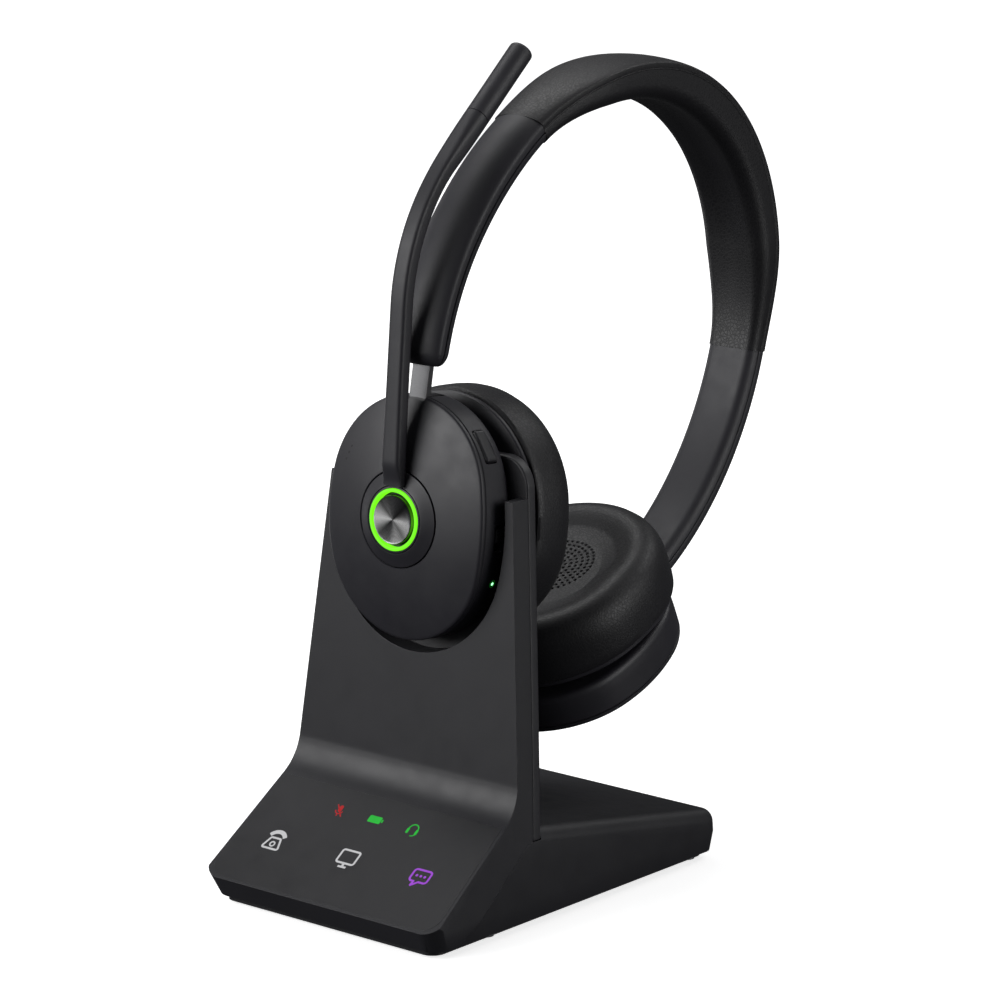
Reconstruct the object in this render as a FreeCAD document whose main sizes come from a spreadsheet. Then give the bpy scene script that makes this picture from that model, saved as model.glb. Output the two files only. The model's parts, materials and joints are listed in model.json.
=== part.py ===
"""Wireless office headset docked on its charging stand, as a parametric document.

World frame: millimetres, +X right, +Y back, +Z up, origin at the centre of the stand's footprint.
Each ear cup is drawn in its own frame: origin at the centre of the control disc's rim plane, +Y from
the disc towards the head, +Z up towards the slider. The headband has a frame of its own: origin on
its mirror line, +Y from the left arm to the right arm, +Z towards the top of the band.
"""
import FreeCAD, Part
import Sketcher
import math
import os

Vector = FreeCAD.Vector
Rotation = FreeCAD.Rotation
Placement = FreeCAD.Placement
X_AXIS = Vector(1, 0, 0)
Y_AXIS = Vector(0, 1, 0)
Z_AXIS = Vector(0, 0, 1)

SIZES = {
    # stand
    "foot_width": 80.0,
    "foot_depth": 120.0,
    "lip_front": -63.4,
    "lip_top": 8.3,
    "lip_half_width": 42.3,
    "panel_back": -30.9,
    "panel_top": 31.3,
    "bend_top": 39.8,
    "bend_front": -26.1,
    "plate_lean": 4.8,
    "plate_half_width": 39.8,
    "plate_draft": 0.094,
    "front_layer": 6.3,
    "back_layer": 3.4,
    "front_layer_top": 116.5,
    "prong_top": 127.0,
    "body_front_top": 27.3,
    "body_back_top": 14.3,
    "skirt_bottom": 2.4,
    "wall": 2.4,
    "base_inset": 1.4,
    "base_bottom": 0.8,
    "mat_inset": 7.0,
    "pocket_gap": 2.8,
    "lip_corner": 6.0,
    "notch_clearance": 0.4,
    "panel_blend": 14.0,
    "prong_corner": 9.0,
    "inlay_start": 1.6,
    "inlay_end": 38.2,
    "inlay_width": 76.6,
    "inlay_thick": 1.2,
    "icon_radius": 4.0,
    "status_radius": 2.4,
    "socket_across": 16.0,
    "screw_radius": 1.1,
    # ear cups
    "disc_half_width": 27.6,
    "disc_half_height": 33.6,
    "disc_side_radius": 60.0,
    "disc_depth": 9.9,
    "dome_height": 5.6,
    "dome_radius": 100.0,
    "cup_wall": 1.8,
    "neck_radius": 17.8,
    "flange_start": 14.9,
    "cushion_start": 16.4,
    "cushion_depth": 18.1,
    "cushion_half_width": 32.4,
    "cushion_half_height": 35.2,
    "cushion_side_radius": 66.0,
    "ear_hole_inset": 14.0,
    "ear_hole_depth": 4.0,
    "cushion_rim": 8.0,
    "cup_height": 108.4,
    "cup_front": -24.3,
    "left_pivot_depth": 4.0,
    "right_pivot_depth": 5.9,
    "pivot_height": 29.0,
    "pin_radius": 1.2,
    "barrel_radius": 2.0,
    # boom
    "hub_radius": 13.3,
    "core_radius": 9.1,
    "button_radius": 6.7,
    "running_gap": 0.1,
    "boom_front": -7.6,
    "boom_straight": 58.0,
    "boom_bend_radius": 55.0,
    "boom_bend_angle": 44.5,
    "boom_width": 5.6,
    "boom_thick": 4.4,
    "boom_end": 41.0,
    "tip_radius": 3.45,
    "tip_length": 25.0,
    # headband
    "band_lean": 37.5,
    "band_origin_back": 29.9,
    "band_origin_up": 116.0,
    "band_half_width": 71.8,
    "band_rise": 87.2,
    "band_spring_line": 33.0,
    "left_bend_radius": 85.0,
    "right_bend_radius": 100.0,
    "left_arm_end": -6.0,
    "right_arm_end": -3.0,
    "arm_width": 17.0,
    "arm_crown": 2.2,
    "arm_split": 3.0,
    "arm_thick": 6.6,
    "seam_height": 70.5,
    "pad_width": 23.0,
    "pad_thick": 11.0,
    "spring_depth": 4.6,
    "spring_thick": 0.8,
    "spring_width": 12.0,
    "left_slide_lean": 27.0,
    "right_slide_lean": 23.0,
    "strip_depth": 4.8,
    "strip_width": 6.0,
    "strip_thick": 1.8,
    "strip_length": 29.0,
    "right_cup_back": 46.8,
    "right_cup_up": 53.6,
    "right_cup_lean": 66.0,
}

doc = FreeCAD.newDocument("office_headset")
sheet = doc.addObject("Spreadsheet::Sheet", "Sizes")
for row, (alias, value) in enumerate(SIZES.items(), start=1):
    sheet.set("A%d" % row, alias)
    sheet.set("B%d" % row, str(value))
    sheet.setAlias("B%d" % row, alias)
doc.recompute()

pieces = []


def size(alias):
    """The number in the sheet's cell with this alias."""
    return float(sheet.get(alias))


# ---------------------------------------------------------------- drawing helpers

def new_body(name, place=None):
    """A PartDesign body: one physical piece, whose label is its file's name."""
    body = doc.addObject("PartDesign::Body", name)
    body.Label = name
    body.Placement = place if place else Placement()
    pieces.append(body)
    return body


def new_sketch(body, plane, offset=None):
    """A sketch on one of the body's own origin planes, moved along the plane's normal."""
    support = [item for item in body.Origin.OriginFeatures if item.Role == plane][0]
    sketch = body.newObject("Sketcher::SketchObject", body.Name + "_sketch")
    sketch.AttachmentSupport = (support, "")
    sketch.MapMode = "FlatFace"
    if offset is not None:
        sketch.setExpression("AttachmentOffset.Base.z", offset)
    return sketch


def pad(body, sketch, length, midplane=False, reverse=False):
    """Adds the sketch's area, pulled out by an expression's length."""
    feature = body.newObject("PartDesign::Pad", body.Name + "_pad")
    feature.Profile = sketch
    feature.Midplane = midplane
    feature.Reversed = reverse
    feature.setExpression("Length", length)
    body.Tip = feature
    return feature


def pocket(body, sketch, length, midplane=False, reverse=False):
    """Cuts the sketch's area out, by an expression's length."""
    feature = body.newObject("PartDesign::Pocket", body.Name + "_pocket")
    feature.Profile = sketch
    feature.Midplane = midplane
    feature.Reversed = reverse
    feature.setExpression("Length", length)
    body.Tip = feature
    return feature


def draw_circle(sketch, radius, x=0.0, y=0.0):
    """A circle whose radius is bound to an expression."""
    index = sketch.addGeometry(Part.Circle(Vector(x, y, 0), Z_AXIS, 1.0))
    number = sketch.addConstraint(Sketcher.Constraint("Radius", index, 1.0))
    sketch.setExpression("Constraints[%d]" % number, radius)
    return index


def draw_polygon(sketch, points):
    """A closed outline of straight lines."""
    for start, end in zip(points, points[1:] + points[:1]):
        sketch.addGeometry(Part.LineSegment(Vector(*start, 0), Vector(*end, 0)))


def draw_rectangle(sketch, left, bottom, width, height):
    """A rectangle from its lower left corner; its width and height are expressions or numbers."""
    corners = [(left, bottom), (left + 1, bottom), (left + 1, bottom + 1), (left, bottom + 1)]
    first = sketch.GeometryCount
    draw_polygon(sketch, corners)
    for side in range(4):
        following = first + (side + 1) % 4
        sketch.addConstraint(Sketcher.Constraint("Coincident", first + side, 2, following, 1))
    for side, direction in enumerate(("Horizontal", "Vertical", "Horizontal", "Vertical")):
        sketch.addConstraint(Sketcher.Constraint(direction, first + side))
    sketch.addConstraint(Sketcher.Constraint("DistanceX", -1, 1, first, 1, left))
    sketch.addConstraint(Sketcher.Constraint("DistanceY", -1, 1, first, 1, bottom))
    across = sketch.addConstraint(Sketcher.Constraint("DistanceX", first, 1, first, 2, 1.0))
    along = sketch.addConstraint(Sketcher.Constraint("DistanceY", first + 1, 1, first + 1, 2, 1.0))
    sketch.setExpression("Constraints[%d]" % across, str(width))
    sketch.setExpression("Constraints[%d]" % along, str(height))


def draw_path(sketch, edges):
    """Adds ready-made curves, end to end, to a sketch."""
    for edge in edges:
        sketch.addGeometry(edge)


def arc_between(centre, radius, start, end):
    """A circular arc, counter-clockwise from one angle to another, in degrees."""
    circle = Part.Circle(Vector(centre[0], centre[1], 0), Z_AXIS, radius)
    return Part.ArcOfCircle(circle, math.radians(start), math.radians(end))


def oval_arcs(half_width, half_height, side_radius, inset=0.0):
    """Four tangent arcs: two flat sides and two rounder ends, moved inwards by the inset."""
    reach = side_radius - half_width
    end_radius = side_radius ** 2 - reach ** 2 - half_height ** 2
    end_radius /= 2 * (side_radius - half_height)
    end_centre = half_height - end_radius
    turn = math.degrees(math.atan2(end_centre, reach))
    side = side_radius - inset
    end = end_radius - inset
    return [
        arc_between((-reach, 0), side, -turn, turn),
        arc_between((0, end_centre), end, turn, 180 - turn),
        arc_between((reach, 0), side, 180 - turn, 180 + turn),
        arc_between((0, -end_centre), end, 180 + turn, 360 - turn),
    ]


def disc_oval(inset=0.0):
    """Outline of a control disc."""
    return oval_arcs(size("disc_half_width"), size("disc_half_height"), size("disc_side_radius"), inset)


def cushion_oval(inset=0.0):
    """Outline of an ear cushion."""
    return oval_arcs(
        size("cushion_half_width"), size("cushion_half_height"), size("cushion_side_radius"), inset
    )


def oval_pad(body, arcs, start, length):
    """An oval block along +Y of a cup's frame; the XZ plane's normal is -Y."""
    sketch = new_sketch(body, "XZ_Plane", "-(%s)" % start)
    draw_path(sketch, arcs)
    return pad(body, sketch, length, reverse=True)


def oval_pocket(body, arcs, start, length):
    """An oval hollow along +Y of a cup's frame."""
    sketch = new_sketch(body, "XZ_Plane", "-(%s)" % start)
    draw_path(sketch, arcs)
    return pocket(body, sketch, length)


def round_pad(body, radius, start, length, x=0.0, z=0.0):
    """A round block along +Y."""
    sketch = new_sketch(body, "XZ_Plane", "-(%s)" % start)
    draw_circle(sketch, radius, x, z)
    return pad(body, sketch, length, reverse=True)


def round_pocket(body, radius, start, length, x=0.0, z=0.0):
    """A round hole along +Y."""
    sketch = new_sketch(body, "XZ_Plane", "-(%s)" % start)
    draw_circle(sketch, radius, x, z)
    return pocket(body, sketch, length)


def block_pad(body, left, bottom, width, height, start, length):
    """A rectangular block along +Y, drawn by its lower left corner in X and Z."""
    sketch = new_sketch(body, "XZ_Plane", "-(%s)" % start)
    draw_rectangle(sketch, left, bottom, width, height)
    return pad(body, sketch, length, reverse=True)


def block_pocket(body, left, bottom, width, height, start, length):
    """A rectangular hollow along +Y."""
    sketch = new_sketch(body, "XZ_Plane", "-(%s)" % start)
    draw_rectangle(sketch, left, bottom, width, height)
    return pocket(body, sketch, length)


def flat_pad(body, left, front, width, depth, bottom, height):
    """A rectangular block along +Z."""
    sketch = new_sketch(body, "XY_Plane", str(bottom))
    draw_rectangle(sketch, left, front, width, depth)
    return pad(body, sketch, str(height))


def fillet(body, radius, test):
    """Rounds the tip's edges whose middle point and shape pass the test."""
    doc.recompute()
    names = []
    for number, edge in enumerate(body.Tip.Shape.Edges, start=1):
        middle = edge.valueAt((edge.FirstParameter + edge.LastParameter) / 2)
        if test(middle, edge):
            names.append("Edge%d" % number)
    tip = body.Tip
    feature = body.newObject("PartDesign::Fillet", body.Name + "_fillet")
    feature.Base = (tip, names)
    feature.Radius = radius
    body.Tip = feature
    doc.recompute()
    if "Invalid" in feature.State or not feature.Shape.isValid():
        raise RuntimeError(body.Name + ": the fillet failed")
    return feature


def group(name, shapes, place=None):
    """Equal small pieces kept together as separate solids of one node."""
    feature = doc.addObject("Part::Feature", name)
    feature.Label = name
    feature.Shape = Part.makeCompound(shapes)
    feature.Placement = place if place else Placement()
    pieces.append(feature)
    return feature


# ---------------------------------------------------------------- frames of the moving parts

def leaning(back, up, lean, turn=0.0):
    """A placement turned about Z, then leaned back about X."""
    turned = Rotation(X_AXIS, -lean).multiply(Rotation(Z_AXIS, turn))
    return Placement(Vector(0, back, up), turned)


left_cup = leaning(size("cup_front"), size("cup_height"), size("plate_lean"))
right_cup = leaning(size("right_cup_back"), size("right_cup_up"), size("right_cup_lean"), 180)
band = leaning(size("band_origin_back"), size("band_origin_up"), size("band_lean"))


class ArmEnd:
    """Where one arm ends and its slider runs, in the band frame's YZ plane."""

    def __init__(self, side, name, cup, turn):
        self.side = side
        self.radius = size(name + "_bend_radius")
        self.lean = math.radians(size(name + "_slide_lean"))
        self.pivot = cup.multVec(Vector(0, size(name + "_pivot_depth"), size("pivot_height")))
        self.up = Vector(0, side * math.sin(self.lean), math.cos(self.lean))
        self.inwards = Vector(0, -side * math.cos(self.lean), math.sin(self.lean))
        reach = size("band_half_width") - self.radius
        self.height = size(name + "_arm_end")
        drop = size("band_spring_line") - self.height
        edge = reach + math.sqrt(self.radius ** 2 - drop ** 2)
        self.end = Vector(0, side * edge, self.height) + self.inwards * size("strip_depth")
        to_end = self.end - band.inverse().multVec(self.pivot)
        self.strip_offset = to_end.dot(self.inwards)
        self.reach = to_end.dot(self.up)
        lean = size("band_lean") + side * size(name + "_slide_lean")
        self.strip_place = leaning(self.pivot.y, self.pivot.z, lean, turn)


left_end = ArmEnd(-1, "left", left_cup, 0)
right_end = ArmEnd(1, "right", right_cup, 180)


def print_axis(name, place, direction):
    """A joint's place and direction in the world, in metres."""
    point = place.Base / 1000.0
    axis = place.Rotation.multVec(direction)
    print("%-24s at %.5f %.5f %.5f along %.5f %.5f %.5f" % (
        name, point.x, point.y, point.z, axis.x, axis.y, axis.z))


# ---------------------------------------------------------------- stand

lean_slope = math.tan(math.radians(size("plate_lean")))


def plate_face(height, depth=0.0):
    """A point of the upright's front face at a height, moved back by a depth."""
    return (size("bend_front") + lean_slope * (height - size("bend_top")) + depth, height)


def panel_directions():
    """Unit vector from the sloped panel into the stand, and one up along the panel."""
    rise = size("panel_top") - size("lip_top")
    run = size("panel_back") - size("lip_front")
    length = math.hypot(rise, run)
    return (rise / length, -run / length), (run / length, rise / length)


def stand_half_width(height):
    """Half the stand's width, which narrows as it rises."""
    if height <= size("bend_top"):
        share = (height - size("lip_top")) / (size("bend_top") - size("lip_top"))
        return size("lip_half_width") + share * (size("plate_half_width") - size("lip_half_width"))
    return size("plate_half_width") - size("plate_draft") * (height - size("bend_top"))


def side_points():
    """Left and right outline of the stand seen from the front, below the upright's top."""
    heights = [size("skirt_bottom") - 3, size("lip_top"), size("bend_top"), size("prong_top") + 2]
    widths = [size("foot_width") / 2 + 0.4, size("lip_half_width")]
    widths += [stand_half_width(height) for height in heights[2:]]
    return list(zip(widths, heights))


def trim_sides(body):
    """Cuts away all that lies outside the stand's front outline."""
    right = side_points()
    left = [(-x, z) for x, z in reversed(right)]
    sketch = new_sketch(body, "XZ_Plane", "100")
    draw_polygon(sketch, [(-80, -20), (80, -20), (80, 160), (-80, 160)])
    draw_polygon(sketch, right + left)
    pocket(body, sketch, "200")


def front_outline(depth, top):
    """The front of the stand in side view, from its lip up to the upright's top, set back by a depth."""
    into, along = panel_directions()
    low = (size("lip_front") + into[0] * depth, size("lip_top") + into[1] * depth)
    slope = along[1] / along[0]
    # the set-back panel line meets the set-back upright line
    face_back, face_up = plate_face(0.0, depth)
    corner_up = (low[1] + slope * (face_back - low[0])) / (1 - slope * lean_slope)
    corner = (face_back + lean_slope * corner_up, corner_up)
    return low, corner, plate_face(top, depth)


# foot of the lip, and the seam between the front shell and the rear body, in side view
LIP_FOOT = -60.6
SEAM_FOOT = -51.5
SEAM_BEND = (-23.6, 23.6)
SEAM_TOP = 24.0
HOLLOW_TOP = 62.0
HOLLOW_WIDTH = "66"
WIDER_THAN_STAND = "120"


def shell_seam():
    """The seam from the upright's back down to the skirt."""
    return [plate_face(SEAM_TOP, size("front_layer")), SEAM_BEND, (SEAM_FOOT, size("skirt_bottom"))]


def make_front_shell():
    """Sloped touch panel and upright in one moulding, with the oval pocket for the disc."""
    body = new_body("stand_front_shell")
    low, corner, top = front_outline(0.0, size("front_layer_top"))
    sketch = new_sketch(body, "YZ_Plane")
    draw_polygon(sketch, [
        (LIP_FOOT, size("skirt_bottom")),
        low,
        corner,
        top,
        plate_face(size("front_layer_top"), size("front_layer")),
        *shell_seam(),
    ])
    pad(body, sketch, WIDER_THAN_STAND, midplane=True)
    fillet(body, size("panel_blend"), lambda p, e: abs(p.y - corner[0]) < 0.1 and abs(p.z - corner[1]) < 0.1)
    trim_sides(body)
    # hollow behind the panel, open to the rear
    hollow = new_sketch(body, "YZ_Plane")
    inner_corner = front_outline(size("wall"), HOLLOW_TOP)[1]
    start = on_panel(0.0, 8.0, size("wall"))
    draw_polygon(hollow, [
        (start.y, start.z),
        inner_corner,
        plate_face(HOLLOW_TOP, size("wall")),
        plate_face(HOLLOW_TOP, 30.0),
        (0.0, -10.0),
        (start.y, -10.0),
    ])
    pocket(body, hollow, HOLLOW_WIDTH, midplane=True)
    # pocket for the control disc, open upwards
    hole = new_sketch(body, "XZ_Plane", "100")
    gap = size("pocket_gap")
    draw_path(hole, [shift_up(arc, size("cup_height") - 1.2) for arc in disc_oval(-gap)])
    pocket(body, hole, "200")
    mouth = new_sketch(body, "XZ_Plane", "100")
    reach = size("disc_half_width") + gap
    draw_rectangle(mouth, -reach + 0.6, size("cup_height"), 2 * reach - 1.2, 40)
    pocket(body, mouth, "200")
    fillet(body, size("lip_corner"), lambda p, e: abs(p.z - size("lip_top")) > 0 and is_corner_edge(p, e))
    # recess for the touch panel
    recess = new_sketch(body, "YZ_Plane")
    draw_polygon(recess, inlay_points(size("inlay_thick") + 0.05, 4.0))
    pocket(body, recess, "Sizes.inlay_width + 0.2", midplane=True)
    drill_windows(body)
    return body


def shift_up(arc, height):
    """The same arc, higher in its sketch."""
    moved = arc.copy()
    moved.translate(Vector(0, height, 0))
    return moved


def is_corner_edge(point, edge):
    """The upright corners where the lip meets the stand's sides."""
    if edge.Curve.TypeId != "Part::GeomLine":
        return False
    direction = edge.tangentAt(edge.FirstParameter)
    at_lip = point.y < size("lip_front") + 4 and abs(point.x) > 38
    return at_lip and abs(direction.z) > 0.5 and point.z < size("lip_top")


def inlay_points(thick, over=0.0):
    """Side view of the touch panel's inlay, lying in the sloped face."""
    start = size("inlay_start")
    end = size("inlay_end")
    corners = [
        on_panel(0.0, distance, depth)
        for distance, depth in ((start, thick), (end, thick), (end, -over), (start, -over))
    ]
    return [(corner.y, corner.z) for corner in corners]


def on_panel(across, distance, depth):
    """World point on the sloped panel: across, up along it from the lip, and into the stand."""
    into, along = panel_directions()
    back = size("lip_front") + along[0] * distance + into[0] * depth
    up = size("lip_top") + along[1] * distance + into[1] * depth
    return Vector(across, back, up)


# how far across and up the panel each icon is
PANEL_ICONS = [(-26.2, 16.4), (0.0, 16.4), (26.2, 16.4)]
STATUS_ICONS = [(-13.5, 30.7), (0.0, 30.7), (13.5, 30.7)]


def windows(name, places, radius, thick):
    """Round light guides that end flush with the touch panel, behind its icons."""
    into = panel_directions()[0]
    direction = Vector(0, into[0], into[1])
    shapes = []
    for across, distance in places:
        shapes.append(Part.makeCylinder(radius, thick, on_panel(across, distance, 0.0), direction))
    return group(name, shapes)


def drill_windows(body):
    """Holes for the light guides, square to the sloped panel."""
    along = panel_directions()[1]
    angle = math.degrees(math.atan2(along[1], along[0]))
    sketch = new_sketch(body, "XY_Plane")
    sketch.AttachmentOffset = Placement(on_panel(0.0, 0.0, -2.0), Rotation(X_AXIS, angle))
    for places, radius in ((PANEL_ICONS, "Sizes.icon_radius"), (STATUS_ICONS, "Sizes.status_radius")):
        for across, distance in places:
            draw_circle(sketch, radius + " + 0.05", across, distance)
    pocket(body, sketch, "6")


def make_touch_panel():
    """Thin inlay of the sloped face, drilled for the light guides."""
    body = new_body("touch_panel")
    sketch = new_sketch(body, "YZ_Plane")
    draw_polygon(sketch, inlay_points(size("inlay_thick")))
    pad(body, sketch, "Sizes.inlay_width", midplane=True)
    drill_windows(body)
    return body


def make_back_cover():
    """Rear layer of the upright: pocket floor and two prongs around the neck's notch."""
    body = new_body("stand_back_cover")
    front = size("front_layer")
    back = front + size("back_layer")
    sketch = new_sketch(body, "YZ_Plane")
    draw_polygon(sketch, [
        plate_face(SEAM_TOP, front),
        plate_face(SEAM_TOP, back),
        plate_face(size("prong_top"), back),
        plate_face(size("prong_top"), front),
    ])
    pad(body, sketch, WIDER_THAN_STAND, midplane=True)
    trim_sides(body)
    fillet(body, size("prong_corner"),
           lambda p, e: abs(p.z - size("prong_top")) < 0.5 and abs(p.x) > 20 and e.Length < 8)
    radius = size("neck_radius") + size("notch_clearance")
    notch = new_sketch(body, "XZ_Plane", "100")
    draw_circle(notch, "Sizes.neck_radius + Sizes.notch_clearance", 0.0, size("cup_height") - 1.0)
    pocket(body, notch, "200")
    mouth = new_sketch(body, "XZ_Plane", "100")
    draw_rectangle(mouth, -radius, size("cup_height") - 1.0, 2 * radius, 40)
    pocket(body, mouth, "200")
    window = new_sketch(body, "YZ_Plane")
    corners = [left_cup.multVec(Vector(0, depth, CONTACT_HEIGHT + up))
               for depth, up in ((8, -2.85), (16, -2.85), (16, 2.85), (8, 2.85))]
    draw_polygon(window, [(corner.y, corner.z) for corner in corners])
    pocket(body, window, "16.1", midplane=True)
    return body


def make_rear_body():
    """Low wedge behind the upright, hollow from below."""
    body = new_body("stand_rear_body")
    back_face = size("front_layer") + size("back_layer")
    half_depth = size("foot_depth") / 2
    low = size("skirt_bottom")
    sketch = new_sketch(body, "YZ_Plane")
    draw_polygon(sketch, [
        *reversed(shell_seam()),
        plate_face(SEAM_TOP, back_face),
        plate_face(size("body_front_top"), back_face),
        (half_depth, size("body_back_top")),
        (half_depth, low),
    ])
    pad(body, sketch, WIDER_THAN_STAND, midplane=True)
    trim_sides(body)
    fillet(body, 4.0, is_top_edge)
    hollow = new_sketch(body, "YZ_Plane")
    draw_polygon(hollow, [
        (-44.0, low - 1),
        (-44.0, 5.6),
        (-25.0, 19.8),
        (-16.0, 23.0),
        (half_depth - 3.0, size("body_back_top") - 3.4),
        (half_depth - 3.0, low - 1),
    ])
    pocket(body, hollow, "72", midplane=True)
    for across in (-size("socket_across"), size("socket_across")):
        socket = new_sketch(body, "XZ_Plane", str(-half_depth - 1))
        draw_rectangle(socket, across - 4.7, 5.4, 9.4, 3.8)
        pocket(body, socket, "6", reverse=True)
    drill_up(body, "Sizes.screw_radius + 0.05", 0.0, 7.6)
    return body


def is_top_edge(point, edge):
    """The long upper edges and the upright rear corners of the wedge."""
    half_depth = size("foot_depth") / 2
    along = edge.tangentAt(edge.FirstParameter)
    long_edge = abs(along.y) > 0.9 and point.z > 17 and abs(point.x) > 36 and point.y > -10
    rear_corner = abs(along.z) > 0.9 and point.y > half_depth - 1
    rear_top = abs(along.x) > 0.9 and point.y > half_depth - 1 and point.z > 10
    return long_edge or rear_corner or rear_top


def flat_plate(name, inset, bottom, height, lift=0.0):
    """A plate that follows the footprint, set in from its edge."""
    body = new_body(name)
    width = size("foot_width") - 2 * inset
    depth = size("foot_depth") - 2 * inset
    flat_pad(body, -width / 2, -depth / 2 - 0.4, width, depth + 0.4, bottom, height)
    fillet(body, 4.0, lambda p, e: abs(e.tangentAt(e.FirstParameter).z) > 0.9)
    return body


STAND_SCREWS = [(-37.0, -36.0), (37.0, -36.0), (-37.0, 52.0), (37.0, 52.0)]


def drill_up(body, radius, bottom, depth):
    """Screw holes from below; the sketch plane's normal is +Z."""
    sketch = new_sketch(body, "XY_Plane", str(bottom))
    for across, back in STAND_SCREWS:
        draw_circle(sketch, radius, across, back)
    pocket(body, sketch, str(depth), reverse=True)


def make_stand():
    """Every fixed piece of the charging stand but its contact block."""
    make_front_shell()
    make_touch_panel()
    windows("icon_lights", PANEL_ICONS, size("icon_radius"), size("wall"))
    windows("status_lights", STATUS_ICONS, size("status_radius"), size("wall"))
    make_back_cover()
    make_rear_body()
    plate = flat_plate("stand_base_plate", size("base_inset"), size("base_bottom"), 1.6)
    drill_up(plate, "Sizes.screw_radius + 0.05", 0.0, 5.0)
    drill_up(plate, "2 * Sizes.screw_radius + 0.05", 0.0, size("base_bottom") + 0.95)
    flat_plate("anti_slip_mat", size("mat_inset"), 0.0, size("base_bottom"))
    ballast = new_body("ballast_plate")
    flat_pad(ballast, -26, -30, 52, 62, size("skirt_bottom"), 4.0)
    board = new_body("stand_main_board")
    flat_pad(board, -28, 33.2, 56, 23, 3.6, 1.4)
    sockets = []
    for across in (-size("socket_across"), size("socket_across")):
        outer = Part.makeBox(9.0, 7.4, 3.3, Vector(across - 4.5, 51.8, 5.6))
        inner = Part.makeBox(8.4, 6.6, 2.7, Vector(across - 4.2, 52.7, 5.9))
        tongue = Part.makeBox(6.6, 5.0, 0.7, Vector(across - 3.3, 52.6, 6.9))
        sockets.append(outer.cut(inner).fuse(tongue))
    group("usb_sockets", sockets)
    touch_board = new_body("touch_board")
    sketch = new_sketch(touch_board, "YZ_Plane")
    corners = [
        on_panel(0.0, distance, depth)
        for distance, depth in ((9.5, 3.9), (34.0, 3.9), (34.0, 5.1), (9.5, 5.1))
    ]
    draw_polygon(sketch, [(corner.y, corner.z) for corner in corners])
    pad(touch_board, sketch, "60", midplane=True)
    screws = []
    for across, back in STAND_SCREWS:
        foot = Vector(across, back, size("base_bottom"))
        head = Part.makeCylinder(2 * size("screw_radius"), 0.9, foot, Z_AXIS)
        screws.append(head.fuse(Part.makeCylinder(size("screw_radius"), 6.4, foot, Z_AXIS)))
    group("stand_screws", screws)


CONTACTS = [-5.0, 0.0, 5.0]
CONTACT_HEIGHT = -27.7


def make_contacts():
    """Spring contacts in the pocket's floor, and their landing pads in the headset's disc."""
    block = new_body("contact_block", left_cup)
    block_pad(block, -8.0, CONTACT_HEIGHT - 2.8, 16, 5.6, "10.3", "3.2")
    pins = []
    pads = []
    wall = size("cup_wall")
    wall_face = size("disc_depth") - wall
    for across in CONTACTS:
        round_pocket(block, "0.85", "9", "4.2", across, CONTACT_HEIGHT)
        pins.append(Part.makeCylinder(0.8, 2.2, Vector(across, 9.95, CONTACT_HEIGHT), Y_AXIS))
        pads.append(Part.makeCylinder(1.4, wall, Vector(across, wall_face, CONTACT_HEIGHT), Y_AXIS))
    group("charging_pins", pins, left_cup)
    group("charging_pads", pads, left_cup)


# ---------------------------------------------------------------- ear cups

def make_front_cover(side, place, hub_hole):
    """Domed outer cover of the disc."""
    body = new_body(side + "_front_cover", place)
    oval_pad(body, disc_oval(), "-Sizes.dome_height", "Sizes.dome_height")
    # a groove turned about the cup's axis leaves the dome
    sketch = new_sketch(body, "YZ_Plane")
    radius = size("dome_radius")
    centre = radius - size("dome_height")
    reach = 45.0
    edge = centre - math.sqrt(radius ** 2 - reach ** 2)
    middle = centre - math.sqrt(radius ** 2 - (reach / 2) ** 2)
    start = Vector(-size("dome_height"), 0, 0)
    arc = Part.Arc(start, Vector(middle, reach / 2, 0), Vector(edge, reach, 0))
    draw_path(sketch, [arc])
    outer = [Vector(edge, reach, 0), Vector(-20, reach, 0), Vector(-20, 0, 0), start]
    draw_path(sketch, [Part.LineSegment(a, b) for a, b in zip(outer, outer[1:])])
    groove = body.newObject("PartDesign::Groove", body.Name + "_dome")
    groove.Profile = sketch
    groove.ReferenceAxis = (sketch, ["H_Axis"])
    groove.Angle = 360
    body.Tip = groove
    oval_pocket(body, disc_oval(6.0), "-2.0", "5")
    if hub_hole:
        round_pocket(body, "Sizes.hub_radius + Sizes.running_gap", "-20", "40")
    return body


def disc_edge(height):
    """Half-width of the disc at a height, and the slope of its outline there in degrees."""
    arcs = disc_oval()
    side = arcs[0]
    reach = size("disc_side_radius")
    slope = math.asin(height / reach)
    if abs(slope) <= abs(side.LastParameter):
        return size("disc_half_width") - reach * (1 - math.cos(slope)), math.degrees(slope)
    end = arcs[1]
    centre = math.copysign(end.Center.y, height)
    slope = math.asin((height - centre) / end.Radius)
    return end.Radius * math.cos(slope), math.degrees(slope)


# side controls: depth and height of the middle, length and width, how far they stand proud
CONTROLS = {
    "volume_button": (4.2, 22.3, 9.6, 4.4, 0.8),
    "power_switch": (5.4, -1.4, 3.8, 3.6, 0.7),
}
SWITCH_SLOT = (5.4, -2.2, 7.2, 3.6, 0.0)


def cut_control_window(body, control):
    """Window through the disc's side wall for a button or a sliding switch."""
    depth, height, length, width, proud = control
    across, slope = disc_edge(height)
    turn = math.radians(slope)
    corners = []
    for out, along in ((-3, -1), (3, -1), (3, 1), (-3, 1)):
        step = along * (length / 2 + 0.15)
        x = across + out * math.cos(turn) - step * math.sin(turn)
        z = height + out * math.sin(turn) + step * math.cos(turn)
        corners.append((x, z))
    sketch = new_sketch(body, "XZ_Plane", str(-(depth - width / 2 - 0.15)))
    draw_polygon(sketch, corners)
    pocket(body, sketch, str(width + 0.3))


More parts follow.
